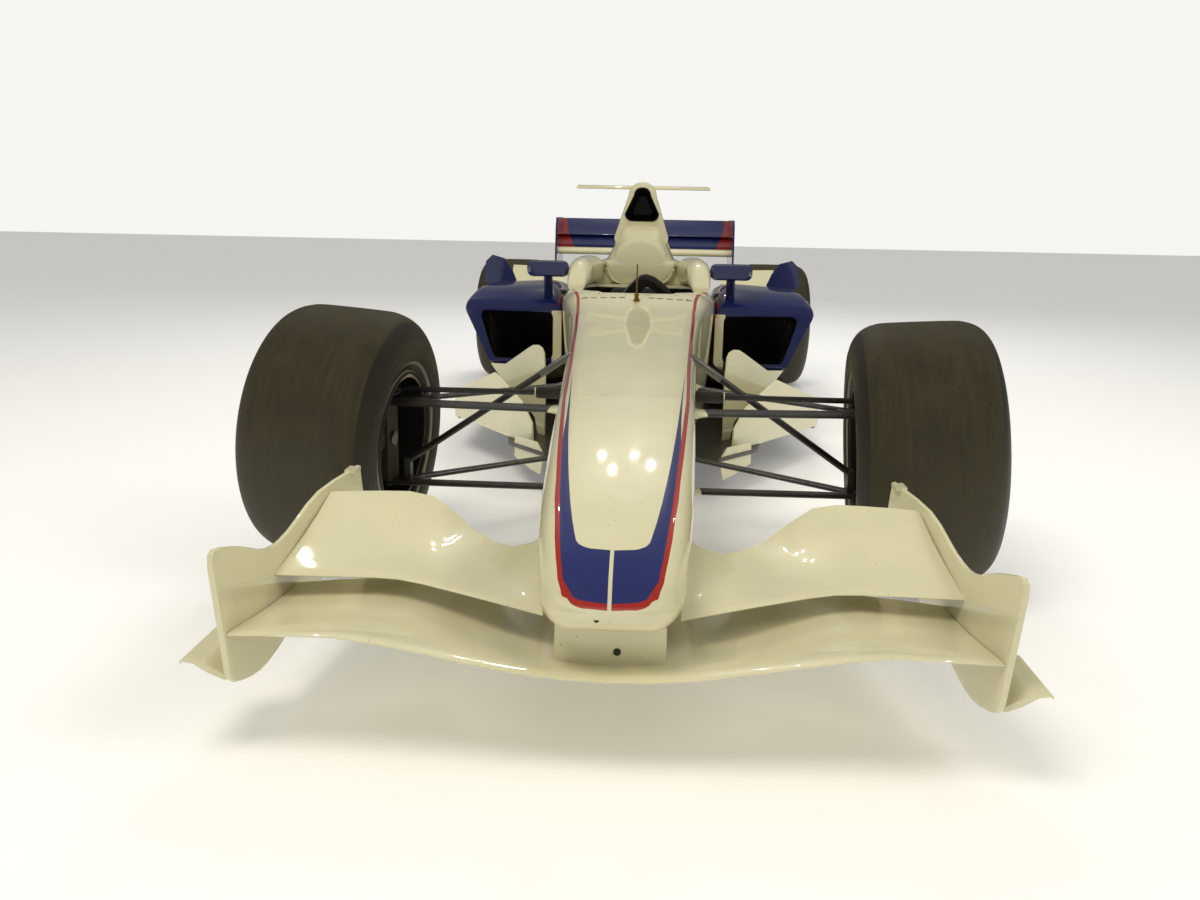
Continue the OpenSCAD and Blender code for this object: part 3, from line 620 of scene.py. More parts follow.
def loft(rings: Sequence[Sequence[Vector]], caps: bool = True) -> Shape:
    """Skins rings of equal length.

    Args:
        rings: the rings, in order.
        caps: whether the ends are closed.

    Returns:
        The skin.
    """
    n = len(rings[0])
    points = [Vector(p) for ring in rings for p in ring]
    faces: Faces = [(i * n + j, i * n + (j + 1) % n, (i + 1) * n + (j + 1) % n, (i + 1) * n + j)
                    for i in range(len(rings) - 1) for j in range(n)]
    if caps:
        for first, flip in ((0, True), ((len(rings) - 1) * n, False)):
            middle = sum((points[first + j] for j in range(n)), Vector()) / n
            points.append(middle)
            for j in range(n):
                tri = (first + j, first + (j + 1) % n, len(points) - 1)
                faces.append(tuple(reversed(tri)) if flip else tri)
    return Shape(points, faces)


def tube(path: Sequence[Vector], wide: Sequence[float], tall: Sequence[float] | None = None, sides: int = 16,
         up: Vector = Vector((0, 0, 1))) -> Shape:
    """Sweeps an ellipse along a path.

    Args:
        path: the points, in metres.
        wide: half width at each point, in millimetres.
        tall: half height at each point, the same as wide if not given.
        sides: points around.
        up: the direction of the height.

    Returns:
        The swept shape with closed ends.
    """
    tall = tall or wide
    rings = []
    for i, p in enumerate(path):
        run = (path[min(i + 1, len(path) - 1)] - path[max(i - 1, 0)]).normalized()
        side = run.cross(up).normalized()
        rise = side.cross(run)
        rings.append([p + side * (wide[i] / 1000 * math.cos(a)) + rise * (tall[i] / 1000 * math.sin(a))
                      for a in (2 * math.pi * k / sides for k in range(sides))])
    return loft(rings)


SOFT_EDGE = 0.12  # share of a plate's thickness by which its faces start further in


def slab(outline: Sequence[Vector], thick: Vector) -> Shape:
    """Makes a plate with softened edges.

    Args:
        outline: the plate's outline on its first face.
        thick: the step to its other face.

    Returns:
        The plate.
    """
    middle = sum(outline, Vector()) / len(outline)
    inset = thick.length * SOFT_EDGE

    def ring(lift: float, shrink: float) -> list[Vector]:
        """Gives the outline at a height, drawn in towards the middle."""
        return [p + thick * lift + (middle - p).normalized() * shrink for p in outline]

    return loft([ring(0, inset), ring(SOFT_EDGE, 0), ring(1 - SOFT_EDGE, 0), ring(1, inset)])


def piece(name: str, shape: Shape, body: str, *finishes: Finish, replaces: Sequence[str] = (), angle: float = 38.0,
          smooth: int = 0) -> bpy.types.Object:
    """Makes a finished object from a shape.

    Args:
        name: the piece's name.
        shape: its points and faces in the shared frame.
        body: the body it rides on.
        *finishes: its finishes, in the order of the shape's marks.
        replaces: CAD nodes it stands for.
        angle: edges sharper than this many degrees stay sharp.
        smooth: levels of subdivision, applied.

    Returns:
        The object.
    """
    mesh = bpy.data.meshes.new(name)
    mesh.from_pydata([tuple(p) for p in shape.points], [], shape.faces)
    if shape.uvs:
        layer = mesh.uv_layers.new(name="surface")
        for loop in mesh.loops:
            layer.data[loop.index].uv = shape.uvs[loop.vertex_index]
    if shape.marks:
        mesh.polygons.foreach_set("material_index", shape.marks)
    made = bmesh.new()
    made.from_mesh(mesh)
    bmesh.ops.remove_doubles(made, verts=made.verts, dist=1e-6)
    bmesh.ops.recalc_face_normals(made, faces=made.faces)
    made.to_mesh(mesh)
    made.free()
    for finish in finishes:
        mesh.materials.append(finish.material())
    item = linked(name, mesh)
    if smooth:
        rounder = item.modifiers.new("round", "SUBSURF")
        rounder.levels = rounder.render_levels = smooth
        bake(item)
    finish_mesh(item.data, angle)
    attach(item, body)
    if replaces:
        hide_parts(*replaces)
    log.info("%s: %d faces on %s", name, len(item.data.polygons), body)
    return item


def bake(item: bpy.types.Object) -> None:
    """Turns an object's modifiers into its plain mesh and removes them."""
    graph = bpy.context.evaluated_depsgraph_get()
    item.data = bpy.data.meshes.new_from_object(item.evaluated_get(graph))
    item.modifiers.clear()


def finish_mesh(mesh: bpy.types.Mesh, angle: float) -> None:
    """Shades a mesh smooth between edges sharper than an angle in degrees."""
    mesh.shade_smooth()
    mesh.set_sharp_from_angle(angle=math.radians(angle))


def skin(node: str, finish: Finish, angle: float) -> bpy.types.Object:
    """Makes a smooth-shaded piece with the exact shape of a CAD node.

    Args:
        node: the CAD node.
        finish: its finish.
        angle: edges sharper than this many degrees stay sharp.

    Returns:
        The object.
    """
    source = frame["nodes"][node]
    mesh = source.data.copy()
    made = bmesh.new()
    made.from_mesh(mesh)
    bmesh.ops.remove_doubles(made, verts=made.verts, dist=2e-6)
    bmesh.ops.dissolve_degenerate(made, edges=made.edges, dist=1e-6)
    made.to_mesh(mesh)
    made.free()
    mesh.materials.clear()
    mesh.materials.append(finish.material())
    for face in mesh.polygons:
        face.material_index = 0
    for spare in [a.name for a in mesh.attributes if a.name == "custom_normal"]:
        mesh.attributes.remove(mesh.attributes[spare])
    item = linked(node + "_skin", mesh)
    finish_mesh(mesh, angle)
    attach(item, source["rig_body"])
    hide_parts(node)
    return item


@dataclass
class Studs:
    """Small round heads, plugs or holes repeated at points by a Geometry Nodes tree."""

    name: str
    body: str
    finish: Finish
    radius: float
    height: float
    sides: int = 10

    def tree(self) -> bpy.types.NodeTree:
        """Builds the tree: a low cylinder on each point, turned to the point's own direction."""
        tree = bpy.data.node_groups.new(self.name, "GeometryNodeTree")
        face = tree.interface
        face.new_socket("Points", in_out="INPUT", socket_type="NodeSocketGeometry")
        for label in ("Head Radius", "Head Height"):
            face.new_socket(label, in_out="INPUT", socket_type="NodeSocketFloat")
        face.new_socket("Sides", in_out="INPUT", socket_type="NodeSocketInt")
        face.new_socket("Geometry", in_out="OUTPUT", socket_type="NodeSocketGeometry")
        given = add(tree, "NodeGroupInput")
        head = add(tree, "GeometryNodeMeshCylinder", {"Radius": given.outputs["Head Radius"],
                                                      "Depth": given.outputs["Head Height"],
                                                      "Vertices": given.outputs["Sides"]})
        out = add(tree, "GeometryNodeInputNamedAttribute", {"Name": "out"}, data_type="FLOAT_VECTOR")
        turn = add(tree, "FunctionNodeAlignRotationToVector", {"Vector": out}, axis="Z")
        spread = add(tree, "GeometryNodeInstanceOnPoints", {"Points": given.outputs["Points"], "Instance": head,
                                                            "Rotation": turn})
        solid = add(tree, "GeometryNodeRealizeInstances", {"Geometry": spread})
        dressed = add(tree, "GeometryNodeSetMaterial", {"Geometry": solid, "Material": self.finish.material()})
        add(tree, "NodeGroupOutput", {"Geometry": dressed})
        return tree

    def place(self, spots: Sequence[tuple[Vector, Vector]]) -> bpy.types.Object:
        """Puts a head on each spot.

        Args:
            spots: pairs of point and outward direction in the shared frame.

        Returns:
            The piece that holds every head.
        """
        mesh = bpy.data.meshes.new(self.name)
        mesh.from_pydata([tuple(p) for p, _ in spots], [], [])
        out = mesh.attributes.new("out", "FLOAT_VECTOR", "POINT")
        out.data.foreach_set("vector", [c for _, d in spots for c in d])
        item = linked(self.name, mesh)
        change = item.modifiers.new("studs", "NODES")
        change.node_group = tree = self.tree()
        sizes = {"Head Radius": self.radius / 1000, "Head Height": self.height / 1000, "Sides": self.sides}
        for socket in tree.interface.items_tree:
            if socket.name in sizes and socket.in_out == "INPUT":
                change[socket.identifier] = sizes[socket.name]
        bake(item)
        finish_mesh(item.data, 40)
        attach(item, self.body)
        log.info("%s: %d heads on %s", self.name, len(spots), self.body)
        return item


class Surface:
    """Finds points on CAD nodes, so that small pieces sit on them."""

    def __init__(self, *nodes: str) -> None:
        """Gathers the faces of some CAD nodes."""
        points, faces = [], []
        for node in nodes:
            mesh = frame["nodes"][node].data
            n = len(points)
            points += [v.co.copy() for v in mesh.vertices]
            faces += [[i + n for i in p.vertices] for p in mesh.polygons]
        self.tree = BVHTree.FromPolygons(points, faces)

    def hit(self, start: Vector, way: Vector) -> tuple[Vector, Vector] | None:
        """Gives the first point and its normal along a ray, or None."""
        place, normal, _, _ = self.tree.ray_cast(start, way)
        if place is None:
            return None
        return place, normal if normal.dot(way) < 0 else -normal

    def hits(self, rays: Iterable[tuple[Vector, Vector]]) -> list[tuple[Vector, Vector]]:
        """Gives the point and normal that each ray meets, without the rays that miss."""
        return [found for ray in rays if (found := self.hit(*ray))]

    def drops(self, spots: Iterable[tuple[float, float]]) -> list[tuple[Vector, Vector]]:
        """Drops plan points, in station millimetres, onto the surface from above."""
        return self.hits((at(x, y, 1500), Vector((0, 0, -1))) for x, y in spots)


# ---------------------------------------------------------------- curves of the body


def smooth_rows(rows: Sequence[Sequence[float]], cuts: int) -> list[list[float]]:
    """Refines rows of stations with a Catmull-Rom curve.

    Args:
        rows: the rows.
        cuts: pieces that each gap becomes.

    Returns:
        The finer rows.
    """
    out = []
    for i in range(len(rows) - 1):
        near = rows[max(i - 1, 0)], rows[i], rows[i + 1], rows[min(i + 2, len(rows) - 1)]
        out += [[spline(*values, j / cuts) for values in zip(*near)] for j in range(cuts)]
    return out + [list(rows[-1])]


def section(row: Sequence[float], cuts: int = 8) -> list[Vector]:
    """Draws a rounded section across the car.

    Args:
        row: station, bottom and top half widths, bottom and top heights, corner radius.
        cuts: pieces of each corner.

    Returns:
        The ring.
    """
    y, low_w, top_w, low, top, radius = row
    ring = []
    for sx, sz, first in ((1, -1, -90), (1, 1, 0), (-1, 1, 90), (-1, -1, 180)):
        w = low_w if sz < 0 else top_w
        r = min(radius, w * 0.98, (top - low) * 0.49)
        for i in range(cuts + 1):
            a = math.radians(first + 90 * i / cuts)
            ring.append(at(sx * (w - r) + r * math.cos(a), y, (low + r if sz < 0 else top - r) + r * math.sin(a)))
    return ring


def polygon_section(row: Sequence[float], side: int, grow: float = 0.0) -> list[Vector]:
    """Draws a four-cornered section with cut corners.

    Args:
        row: station, radius, then x and z of the lower inner, lower outer, upper outer and upper inner corner.
        side: 1 for the car's left, -1 for its right.
        grow: millimetres by which it grows, or shrinks if negative.

    Returns:
        The ring.
    """
    y, radius = row[0], row[1]
    corners = [Vector((row[i], row[i + 1])) for i in (2, 4, 6, 8)]
    middle = sum(corners, Vector((0, 0))) / 4
    corners = [c + Vector((math.copysign(grow, (c - middle).x), math.copysign(grow, (c - middle).y))) for c in corners]
    ring = []
    for i in range(4):
        before, here, after = corners[i - 1], corners[i], corners[(i + 1) % 4]
        u, v = (before - here).normalized(), (after - here).normalized()
        cut = min(radius * 1.2, 0.46 * min((before - here).length, (after - here).length))
        for j in range(7):
            t = j / 6
            p = (here + u * cut) * (1 - t) ** 2 + here * 2 * t * (1 - t) + (here + v * cut) * t * t
            ring.append(at(side * p.x, y, p.y))
    return ring


def lining(outer: list[list[Vector]], wall: float) -> Shape:
    """Makes a thin closed sleeve with a blind end inside rings.

    Args:
        outer: the rings from the mouth inwards.
        wall: thickness in metres.

    Returns:
        The sleeve.
    """
    def shrunk(ring: list[Vector], by: float, share: float = 1.0) -> list[Vector]:
        """Draws a ring in towards its middle."""
        middle = sum(ring, Vector()) / len(ring)
        return [middle + (p - middle) * max(share - by / (p - middle).length, 0.001) for p in ring]

    back = shrunk(outer[-1], 0, 0.002)
    inner = [shrunk(r, wall) for r in outer]
    rings = outer + [back, [p - Vector((0, wall, 0)) for p in back]] + [[p - Vector((0, wall, 0)) for p in inner[-1]]]
    rings += inner[-2::-1] + [outer[0]]
    return loft(rings, caps=False)


def pad_form(rows: Sequence[tuple[Vector, float, float]], across: Vector, cuts: int = 14) -> Shape:
    """Makes a crowned, closed cushion whose sides pull in between its corners.

    Args:
        rows: centre, half width and thickness in metres along the cushion.
        across: the direction of the width.
        cuts: points across each face.

    Returns:
        The cushion.
    """
    rings = []
    for i, (centre, half, thick) in enumerate(rows):
        ahead = rows[min(i + 1, len(rows) - 1)][0] - rows[max(i - 1, 0)][0]
        rise = across.cross(ahead).normalized()
        rise = rise if rise.z >= -0.01 else -rise
        end = math.sin(math.pi * (i + 0.35) / (len(rows) - 0.3)) ** 0.35
        ring = []
        for j in range(cuts * 2):
            a = 2 * math.pi * j / (cuts * 2)
            c, s = math.cos(a), math.sin(a)
            x = math.copysign(abs(c) ** 0.45, c) * half * (0.985 if 0 < i < len(rows) - 1 else 1.0) * (0.9 + 0.1 * end)
            z = math.copysign(abs(s) ** 0.7, s) * thick * 0.5 * end * (1.0 if s > 0 else 0.7)
            ring.append(centre + across * x + rise * z)
        rings.append(ring)
    return loft(rings)


# ---------------------------------------------------------------- sub-assemblies


@dataclass
class Nose:
    """The nose cone with its pylon, lines and fasteners; sizes in station millimetres."""

    rows: tuple = ((-1078, 78, 68, 246, 290, 20), (-1060, 102, 92, 228, 316, 38), (-1000, 122, 119, 218, 348, 50),
                   (-850, 134, 137, 220, 392, 50), (-600, 146, 149, 214, 442, 50), (-330.3, 156, 158, 196, 480, 50))
    tip: tuple = ((-1086.5, 42, 34, 259, 277, 9), (-1084.5, 62, 52, 253, 284, 14))

    def build(self) -> None:
        """Builds the cone, the pylon, the pressure hole and the fasteners."""
        rings = [section(r) for r in list(self.tip) + smooth_rows(self.rows, 8)]
        piece("nose_shell", loft(rings), "chassis", Finishes.nose, replaces=["nose_cone"], angle=50)
        pylon = [section((y, 94 - d, 94 - d, 138, 246, 12)) for y, d in ((-1015.5, 5), (-1013, 1), (-1008, 0),
                                                                         (-800, 0), (-782, 8))]
        piece("nose_pylon", loft(pylon), "chassis", Finishes.cream, angle=50)
        # the pylon's hole is a black disc on its face: its darkness is painted shade for the opening
        Studs("pylon_hole", "chassis", Finishes.black, 6.5, 3.0, 20).place([(at(12, -1015.5, 172), Vector((0, -1, 0)))])
        Studs("tip_eye", "chassis", Finishes.black, 4.5, 4.0, 16).place([(at(-20, -1083.5, 256), Vector((0, -1, 0)))])
        found = Surface("nose_cone", "monocoque").drops((s * x,
                                                         y) for s in SIDES for y in (-346, -314) for x in (110, 55))
        Studs("nose_fasteners", "chassis", Finishes.cream, 4.0, 1.0, 12).place(found)


@dataclass
class Cell:
    """The driver's cell: shell, cockpit sides, instruments on top and the root fairings of the suspension."""

    pitot_foot: tuple = (0, 860, 585)

    def build(self) -> None:
        """Builds every piece of the cell."""
        skin("monocoque", Finishes.cell, 40)
        blocks = []
        for s in SIDES:
            rows = ((1236, 202, 262, 606, 622, 7), (1262, 196, 268, 604.6, 648, 20), (1330, 186, 272, 604.6, 698, 42),
                    (1400, 182, 273, 604.6, 713, 44),
                    (1480, 178, 270, 604.6, 718, 45), (1600, 162, 262, 604.6, 718, 46),
                    (1668, 148, 254, 604.6, 712, 46), (1700, 146, 250, 604.6, 690, 40))
            rings = []
            for y, x0, x1, z0, z1, r in smooth_rows(rows, 4):
                half, middle = (x1 - x0) / 2, s * (x0 + x1) / 2000
                rings.append([p + Vector((middle, 0, 0)) for p in section((y, half, half, z0, z1, r), 8)])
            blocks.append(loft(rings))
        piece("cockpit_sides", Shape.joined(blocks), "chassis", Finishes.cream, replaces=["cockpit_surround"], angle=60)
        self.pitot()
        self.marks()
        self.fairings()

    def pitot(self) -> None:
        """Builds the pitot mast: a turned brass foot, a thin mast and the probe that points forwards."""
        x, y, z = self.pitot_foot
        foot = [(-4, 0), (-4, 13), (3, 13), (5, 9), (12, 9), (13, 11.5), (17, 11.5), (18, 7.5), (27, 7), (29, 9),
                (33, 9), (36, 4.5), (44, 3.2), (44, 0)]
        stand = Matrix.Translation(at(x, y, z + 2)) @ Matrix.Rotation(math.radians(-90), 4, "Y")
        mast = tube([at(x, y + 12 * t, z + 38 + 94 * t) for t in (0, 0.5, 1)], [3.2, 2.8, 2.4], [5.0, 4.2, 3.4], 18,
                    Vector((0, 1, 0)))
        probe = tube([at(x, y + 14, 716), at(x, y + 8, 717.5), at(x, y - 50, 721), at(x, y - 66, 722)],
                     [2.4, 3.0, 2.6, 1.4], sides=14)
        piece("pitot_mast", Shape.joined([lathe(foot, 40).moved(stand), mast, probe]), "chassis", Finishes.brass,
              replaces=["pitot_tube"])

    def marks(self) -> None:
        """Builds the row of vent slots ahead of the cockpit as thin black plates, painted shade for their openings, and
        the ring of screws at its rim.
        """
        surface = Surface("monocoque")
        slots = []
        row = (-178, -146, -112, -80, -50, 50, 80, 112, 146, 178)
        for place, normal in surface.drops((x, 905 - abs(x) * 0.12) for x in row):
            across = normal.cross(Vector((0, 1, 0))).normalized()
            along = across.cross(normal)
            corners = ((0.011, 0.0032), (-0.009, 0.0032), (-0.011, -0.0032), (0.009, -0.0032))
            outline = [place + across * a + along * b - normal * 0.0008 for a, b in corners]
            slots.append(slab(outline, normal * 0.0014))
        # the slots are black plates on the skin: their darkness is painted shade for the openings
        piece("cell_slots", Shape.joined(slots), "chassis", Finishes.black)
        rim = [(s * x, y) for s in SIDES for x, y in ((132, 945), (192, 1010), (226, 1110), (40, 935))]
        Studs("cell_screws", "chassis", Finishes.steel, 3.5, 1.2, 12).place(surface.drops(rim))

    def fairings(self) -> None:
        """Builds body-coloured blisters where the front arms meet the cell."""
        roots = (((158, -90, 402), (630, -20, 396), 42, 6.5), ((176, 330, 396), (630, -20, 396), 21, 6.5),
                 ((154, -90, 200), (630, -20, 182), 25, 6.5), ((162, 430, 166), (630, -20, 182), 21, 6.5))
        shapes = []
        for s in SIDES:
            for foot, ball, wide, tall in roots:
                a = at(s * foot[0], *foot[1:])
                run = (at(s * ball[0], *ball[1:]) - a).normalized()
                steps = ((-0.004, 11, 8), (0.008, 8, 5.4), (0.016, 4, 3), (0.026, 1.6, 1.2), (0.034, 0.6, 0.4))
                path = [a + run * d for d, _, _ in steps]
                shapes.append(tube(path, [wide + w for _, w, _ in steps], [tall + t for _, _, t in steps], 28))
        piece("arm_root_fairings", Shape.joined(shapes), "chassis", Finishes.cream, angle=60)


@dataclass
class FrontWing:
    """The front wing: plane, flaps, end plates and their screws."""

    def build(self) -> None:
        """Builds every piece of the front wing."""
        for node, angle in (("front_wing_main", 50), ("front_wing_flap", 50), ("front_wing_endplates", 40)):
            skin(node, Finishes.cream, angle)
        heads = ((-1030, 170), (-960, 150), (-880, 170), (-800, 200), (-720, 180), (-640, 240), (-560, 200),
                 (-500, 280))
        rays = [(at(s * 760, y, z), Vector((-s, 0, 0))) for s in SIDES for y, z in heads]
        Studs("wing_screws", "chassis", Finishes.steel, 4.5, 1.4, 12).place(Surface("front_wing_endplates").hits(rays))


@dataclass
class Sidepod:
    """One sidepod with its duct, whose near-black lining and blind end are painted shade for its depth."""

    side: int
    duct: tuple = ((1404, 24, 330, 318, 566, 318, 636, 516, 330, 512), (1500, 40, 322, 290, 566, 286, 676, 560, 322,
                                                                        572),
                   (1700, 50, 322, 220, 578, 214, 672, 568, 322, 584), (1940, 50, 322, 160, 588, 150, 656, 552, 322,
                                                                        576))

    def build(self) -> None:
        """Builds the pod's skin and its lining."""
        word = "left" if self.side > 0 else "right"
        skin("sidepod_" + word, Finishes.pod, 40)
        rows = smooth_rows(self.duct, 4)
        # the near-black lining and its blind end stand for the duct's dark depth: painted shade
        piece("duct_" + word, lining([polygon_section(r, self.side, -0.8) for r in rows], 0.002), "chassis",
              Finishes.black, angle=50)


@dataclass
class EngineCover:
    """Bodywork behind the driver: intake, arch, spine, mid wing, flicks, winglets and small fins."""

    top: float = 1013.0

    def build(self) -> None:
        """Builds every piece behind the driver."""
        shell = [(1706, 106, 50, 742, self.top - 9, 46), (1722, 112, 57, 740, self.top, 53),
                 (1800, 114, 58, 740, self.top - 2, 52),
                 (1880, 114, 50, 740, self.top - 12, 44), (1961, 112, 38, 740, self.top - 24, 30)]
        mouth = [(1706, 74, 38, 850, self.top - 18, 34), (1712, 70, 34, 856, self.top - 22, 30),
                 (1800, 64, 28, 862, self.top - 28, 24),
                 (1900, 44, 20, 880, self.top - 50, 14)]
        rings = [section(r) for r in smooth_rows(shell, 4)[::-1]] + [section(r) for r in smooth_rows(mouth, 3)]
        piece("airbox_shell", loft(rings), "chassis", Finishes.cream, replaces=["airbox"], angle=60)
        # the near-black lining and its blind end stand for the intake's dark depth: painted shade
        fine = [[y, a - 0.6, b - 0.6, z0 + 0.6, z1 - 0.6, r] for y, a, b, z0, z1, r in smooth_rows(mouth[1:], 4)]
        piece("airbox_duct", lining([section(r) for r in fine], 0.002), "chassis", Finishes.black, angle=50)
        arch = [(1624, 124, 90, 608, 768, 82), (1630, 134, 100, 604.6, 781, 88), (1646, 141, 108, 604.6, 790, 92),
                (1700, 155, 112, 604.6, 800, 92),
                (1800, 169, 112, 604.6, 800, 86), (1900, 174, 104, 602, 790, 70), (1975, 170, 90, 600, 770, 50)]
        piece("arch_panel", loft([section(r, 12) for r in smooth_rows(arch, 4)]), "chassis", Finishes.cream, angle=70)
        skin("engine_cover", Finishes.cream, 40)
        span = []
        for x in (-292, -286, -150, 0, 150, 286, 292):
            thick = 5 if abs(x) > 290 else 14
            chord = [(0.0, 0.0), (0.02, 0.5), (0.1, 0.9), (0.3, 1.0), (0.6, 0.75), (1.0, 0.12), (1.0, -0.05),
                     (0.6, -0.2), (0.3, -0.28), (0.1, -0.3),
                     (0.02, -0.2)]
            span.append([at(x, 1972 + 134 * t, self.top - 20 + 9 * t + thick * h * 0.8) for t, h in chord])
        mast = [at(0, 1985, self.top - 62), at(0, 1990, self.top - 40), at(0, 1992, self.top - 16)]
        wing = Shape.joined([loft(span), tube(mast, [12, 12, 12], [40, 38, 36], 20, Vector((0, 1, 0)))])
        piece("mid_wing_form", wing, "chassis", Finishes.cream, replaces=["mid_wing"], angle=50)
        skin("rear_flicks", Finishes.cream, 50)
        skin("sidepod_winglets", Finishes.navy, 30)
        self.seams()

    def seams(self) -> None:
        """Builds quarter-turn fasteners along the cover's joint lines."""
        plan = [(s * x, y) for s in SIDES for x, y in ((230, 1700), (236, 1800), (240, 1900), (232, 2020), (222, 2150),
                                                       (212, 2280),
                                                       (186, 2440), (150, 2600), (110, 2760), (84, 2920), (70, 3040))]
        Studs("cover_fasteners", "chassis", Finishes.steel, 6.0, 1.2, 14).place(Surface("engine_cover").drops(plan))


@dataclass
class Mirrors:
    """The two mirrors with silvered glass."""

    def build(self) -> None:
        """Builds the pods and the glass."""
        skin("mirrors", Finishes.navy, 40)
        panes = []
        for s in SIDES:
            ring = [at(s * x, 1404.2, z) for x, z in ((302, 654), (400, 654), (407, 661), (407, 689), (400, 696),
                                                      (302, 696), (295, 689), (295, 661))]
            panes.append(slab(ring, Vector((0, 0.0015, 0))))
        piece("mirror_glass", Shape.joined(panes), "chassis", Finishes.mirror)


@dataclass
class Underbody:
    """Floor, plank, diffuser, vanes and radiators."""

    def build(self) -> None:
        """Dresses the floor and its fittings."""
        for node, finish in (("floor", Finishes.carbon), ("plank", Finishes.plank), ("diffuser", Finishes.carbon),
                             ("bargeboards", Finishes.cream), ("radiators", Finishes.cast)):
            skin(node, finish, 30)
        edge = [(s * 690, y) for s in SIDES for y in range(1330, 2450, 160)]
        Studs("floor_bolts", "chassis", Finishes.steel, 5.0, 2.0, 6).place(Surface("floor").drops(edge))
        rays = [(at(x, y, -50), Vector((0, 0, 1))) for y in (820, 1250, 1750, 2250, 2720) for x in (-90, 90)]
        Studs("plank_bolts", "chassis", Finishes.steel, 12.0, 0.8, 24).place(Surface("plank").hits(rays))


@dataclass
class RearEnd:
    """Rear wing, gearbox, crash structure, light, exhausts and the rear suspension."""

    def build(self) -> None:
        """Dresses the rear of the car."""
        skin("rear_wing_main", Finishes.wing, 50)
        skin("rear_wing_flap", Finishes.flap, 50)
        bar = [at(x, 3243, 676) for x in (-489, -480, -240, 0, 240, 480, 489)]
        piece("rear_wing_bar", tube(bar, [20] * 7, [15] * 7, 28), "chassis", Finishes.cream, angle=50)
        for node, finish, angle in (
                ("rear_wing_endplates", Finishes.navy, 30), ("beam_wing", Finishes.navy, 50),
                ("crash_structure", Finishes.carbon, 40), ("rain_light", Finishes.lens, 30),
                ("engine", Finishes.cast, 30), ("gearbox", Finishes.cast, 30), ("exhausts", Finishes.steel, 40),
                ("rear_wishbones_upper", Finishes.carbon, 40), ("rear_wishbones_lower", Finishes.carbon, 40),
                ("rear_links", Finishes.carbon, 40), ("rear_uprights", Finishes.alloy, 30)):
            skin(node, finish, angle)
        heads = ((3270, 700), (3330, 725), (3400, 750), (3450, 800), (3520, 835), (3400, 410), (3460, 420), (3520, 430))
        rays = [(at(s * 800, y, z), Vector((-s, 0, 0))) for s in SIDES for y, z in heads]
        found = Surface("rear_wing_endplates").hits(rays)
        Studs("rear_wing_screws", "chassis", Finishes.steel, 5.0, 1.6, 12).place(found)


@dataclass
class FrontSuspension:
    """Front arms, push rods, track rods and the rack's housings."""

    rod_y: float = 59.5
    rod_z: float = 417.0

    def build(self) -> None:
        """Builds every fixed or sliding piece of the front suspension."""
        for node in ("front_wishbones_upper", "front_wishbones_lower", "front_pushrods", "steering_rack"):
            skin(node, Finishes.carbon, 50)
        sleeves, housings = [], []
        for s in SIDES:
            a, b = at(s * 160, 152, 510), at(s * 580, 2, 236)
            stops = [0.0, 0.01, 0.20, 0.205]
            sleeves.append(tube([a.lerp(b, t) for t in stops], [17, 18, 18, 17], [8, 9, 9, 8], 24))
            bore = [(164, 9.6), (164, 15.5), (168, 16), (236, 15.8), (246, 14.2), (251.5, 11.5), (251.5, 9.6)]
            housings.append(lathe(bore, 40).moved(Matrix.Translation(at(0, self.rod_y,
                                                                        self.rod_z)) @ Matrix.Diagonal((s, 1, 1, 1))))
        piece("push_rod_sleeves", Shape.joined(sleeves), "chassis", Finishes.alloy)
        piece("rack_housings", Shape.joined(housings), "chassis", Finishes.cast)


class Corner(Enum):
    """The four wheels by the body they ride on."""

    FRONT_LEFT = "wheel_front_left"
    FRONT_RIGHT = "wheel_front_right"
    REAR_LEFT = "wheel_rear_left"
    REAR_RIGHT = "wheel_rear_right"


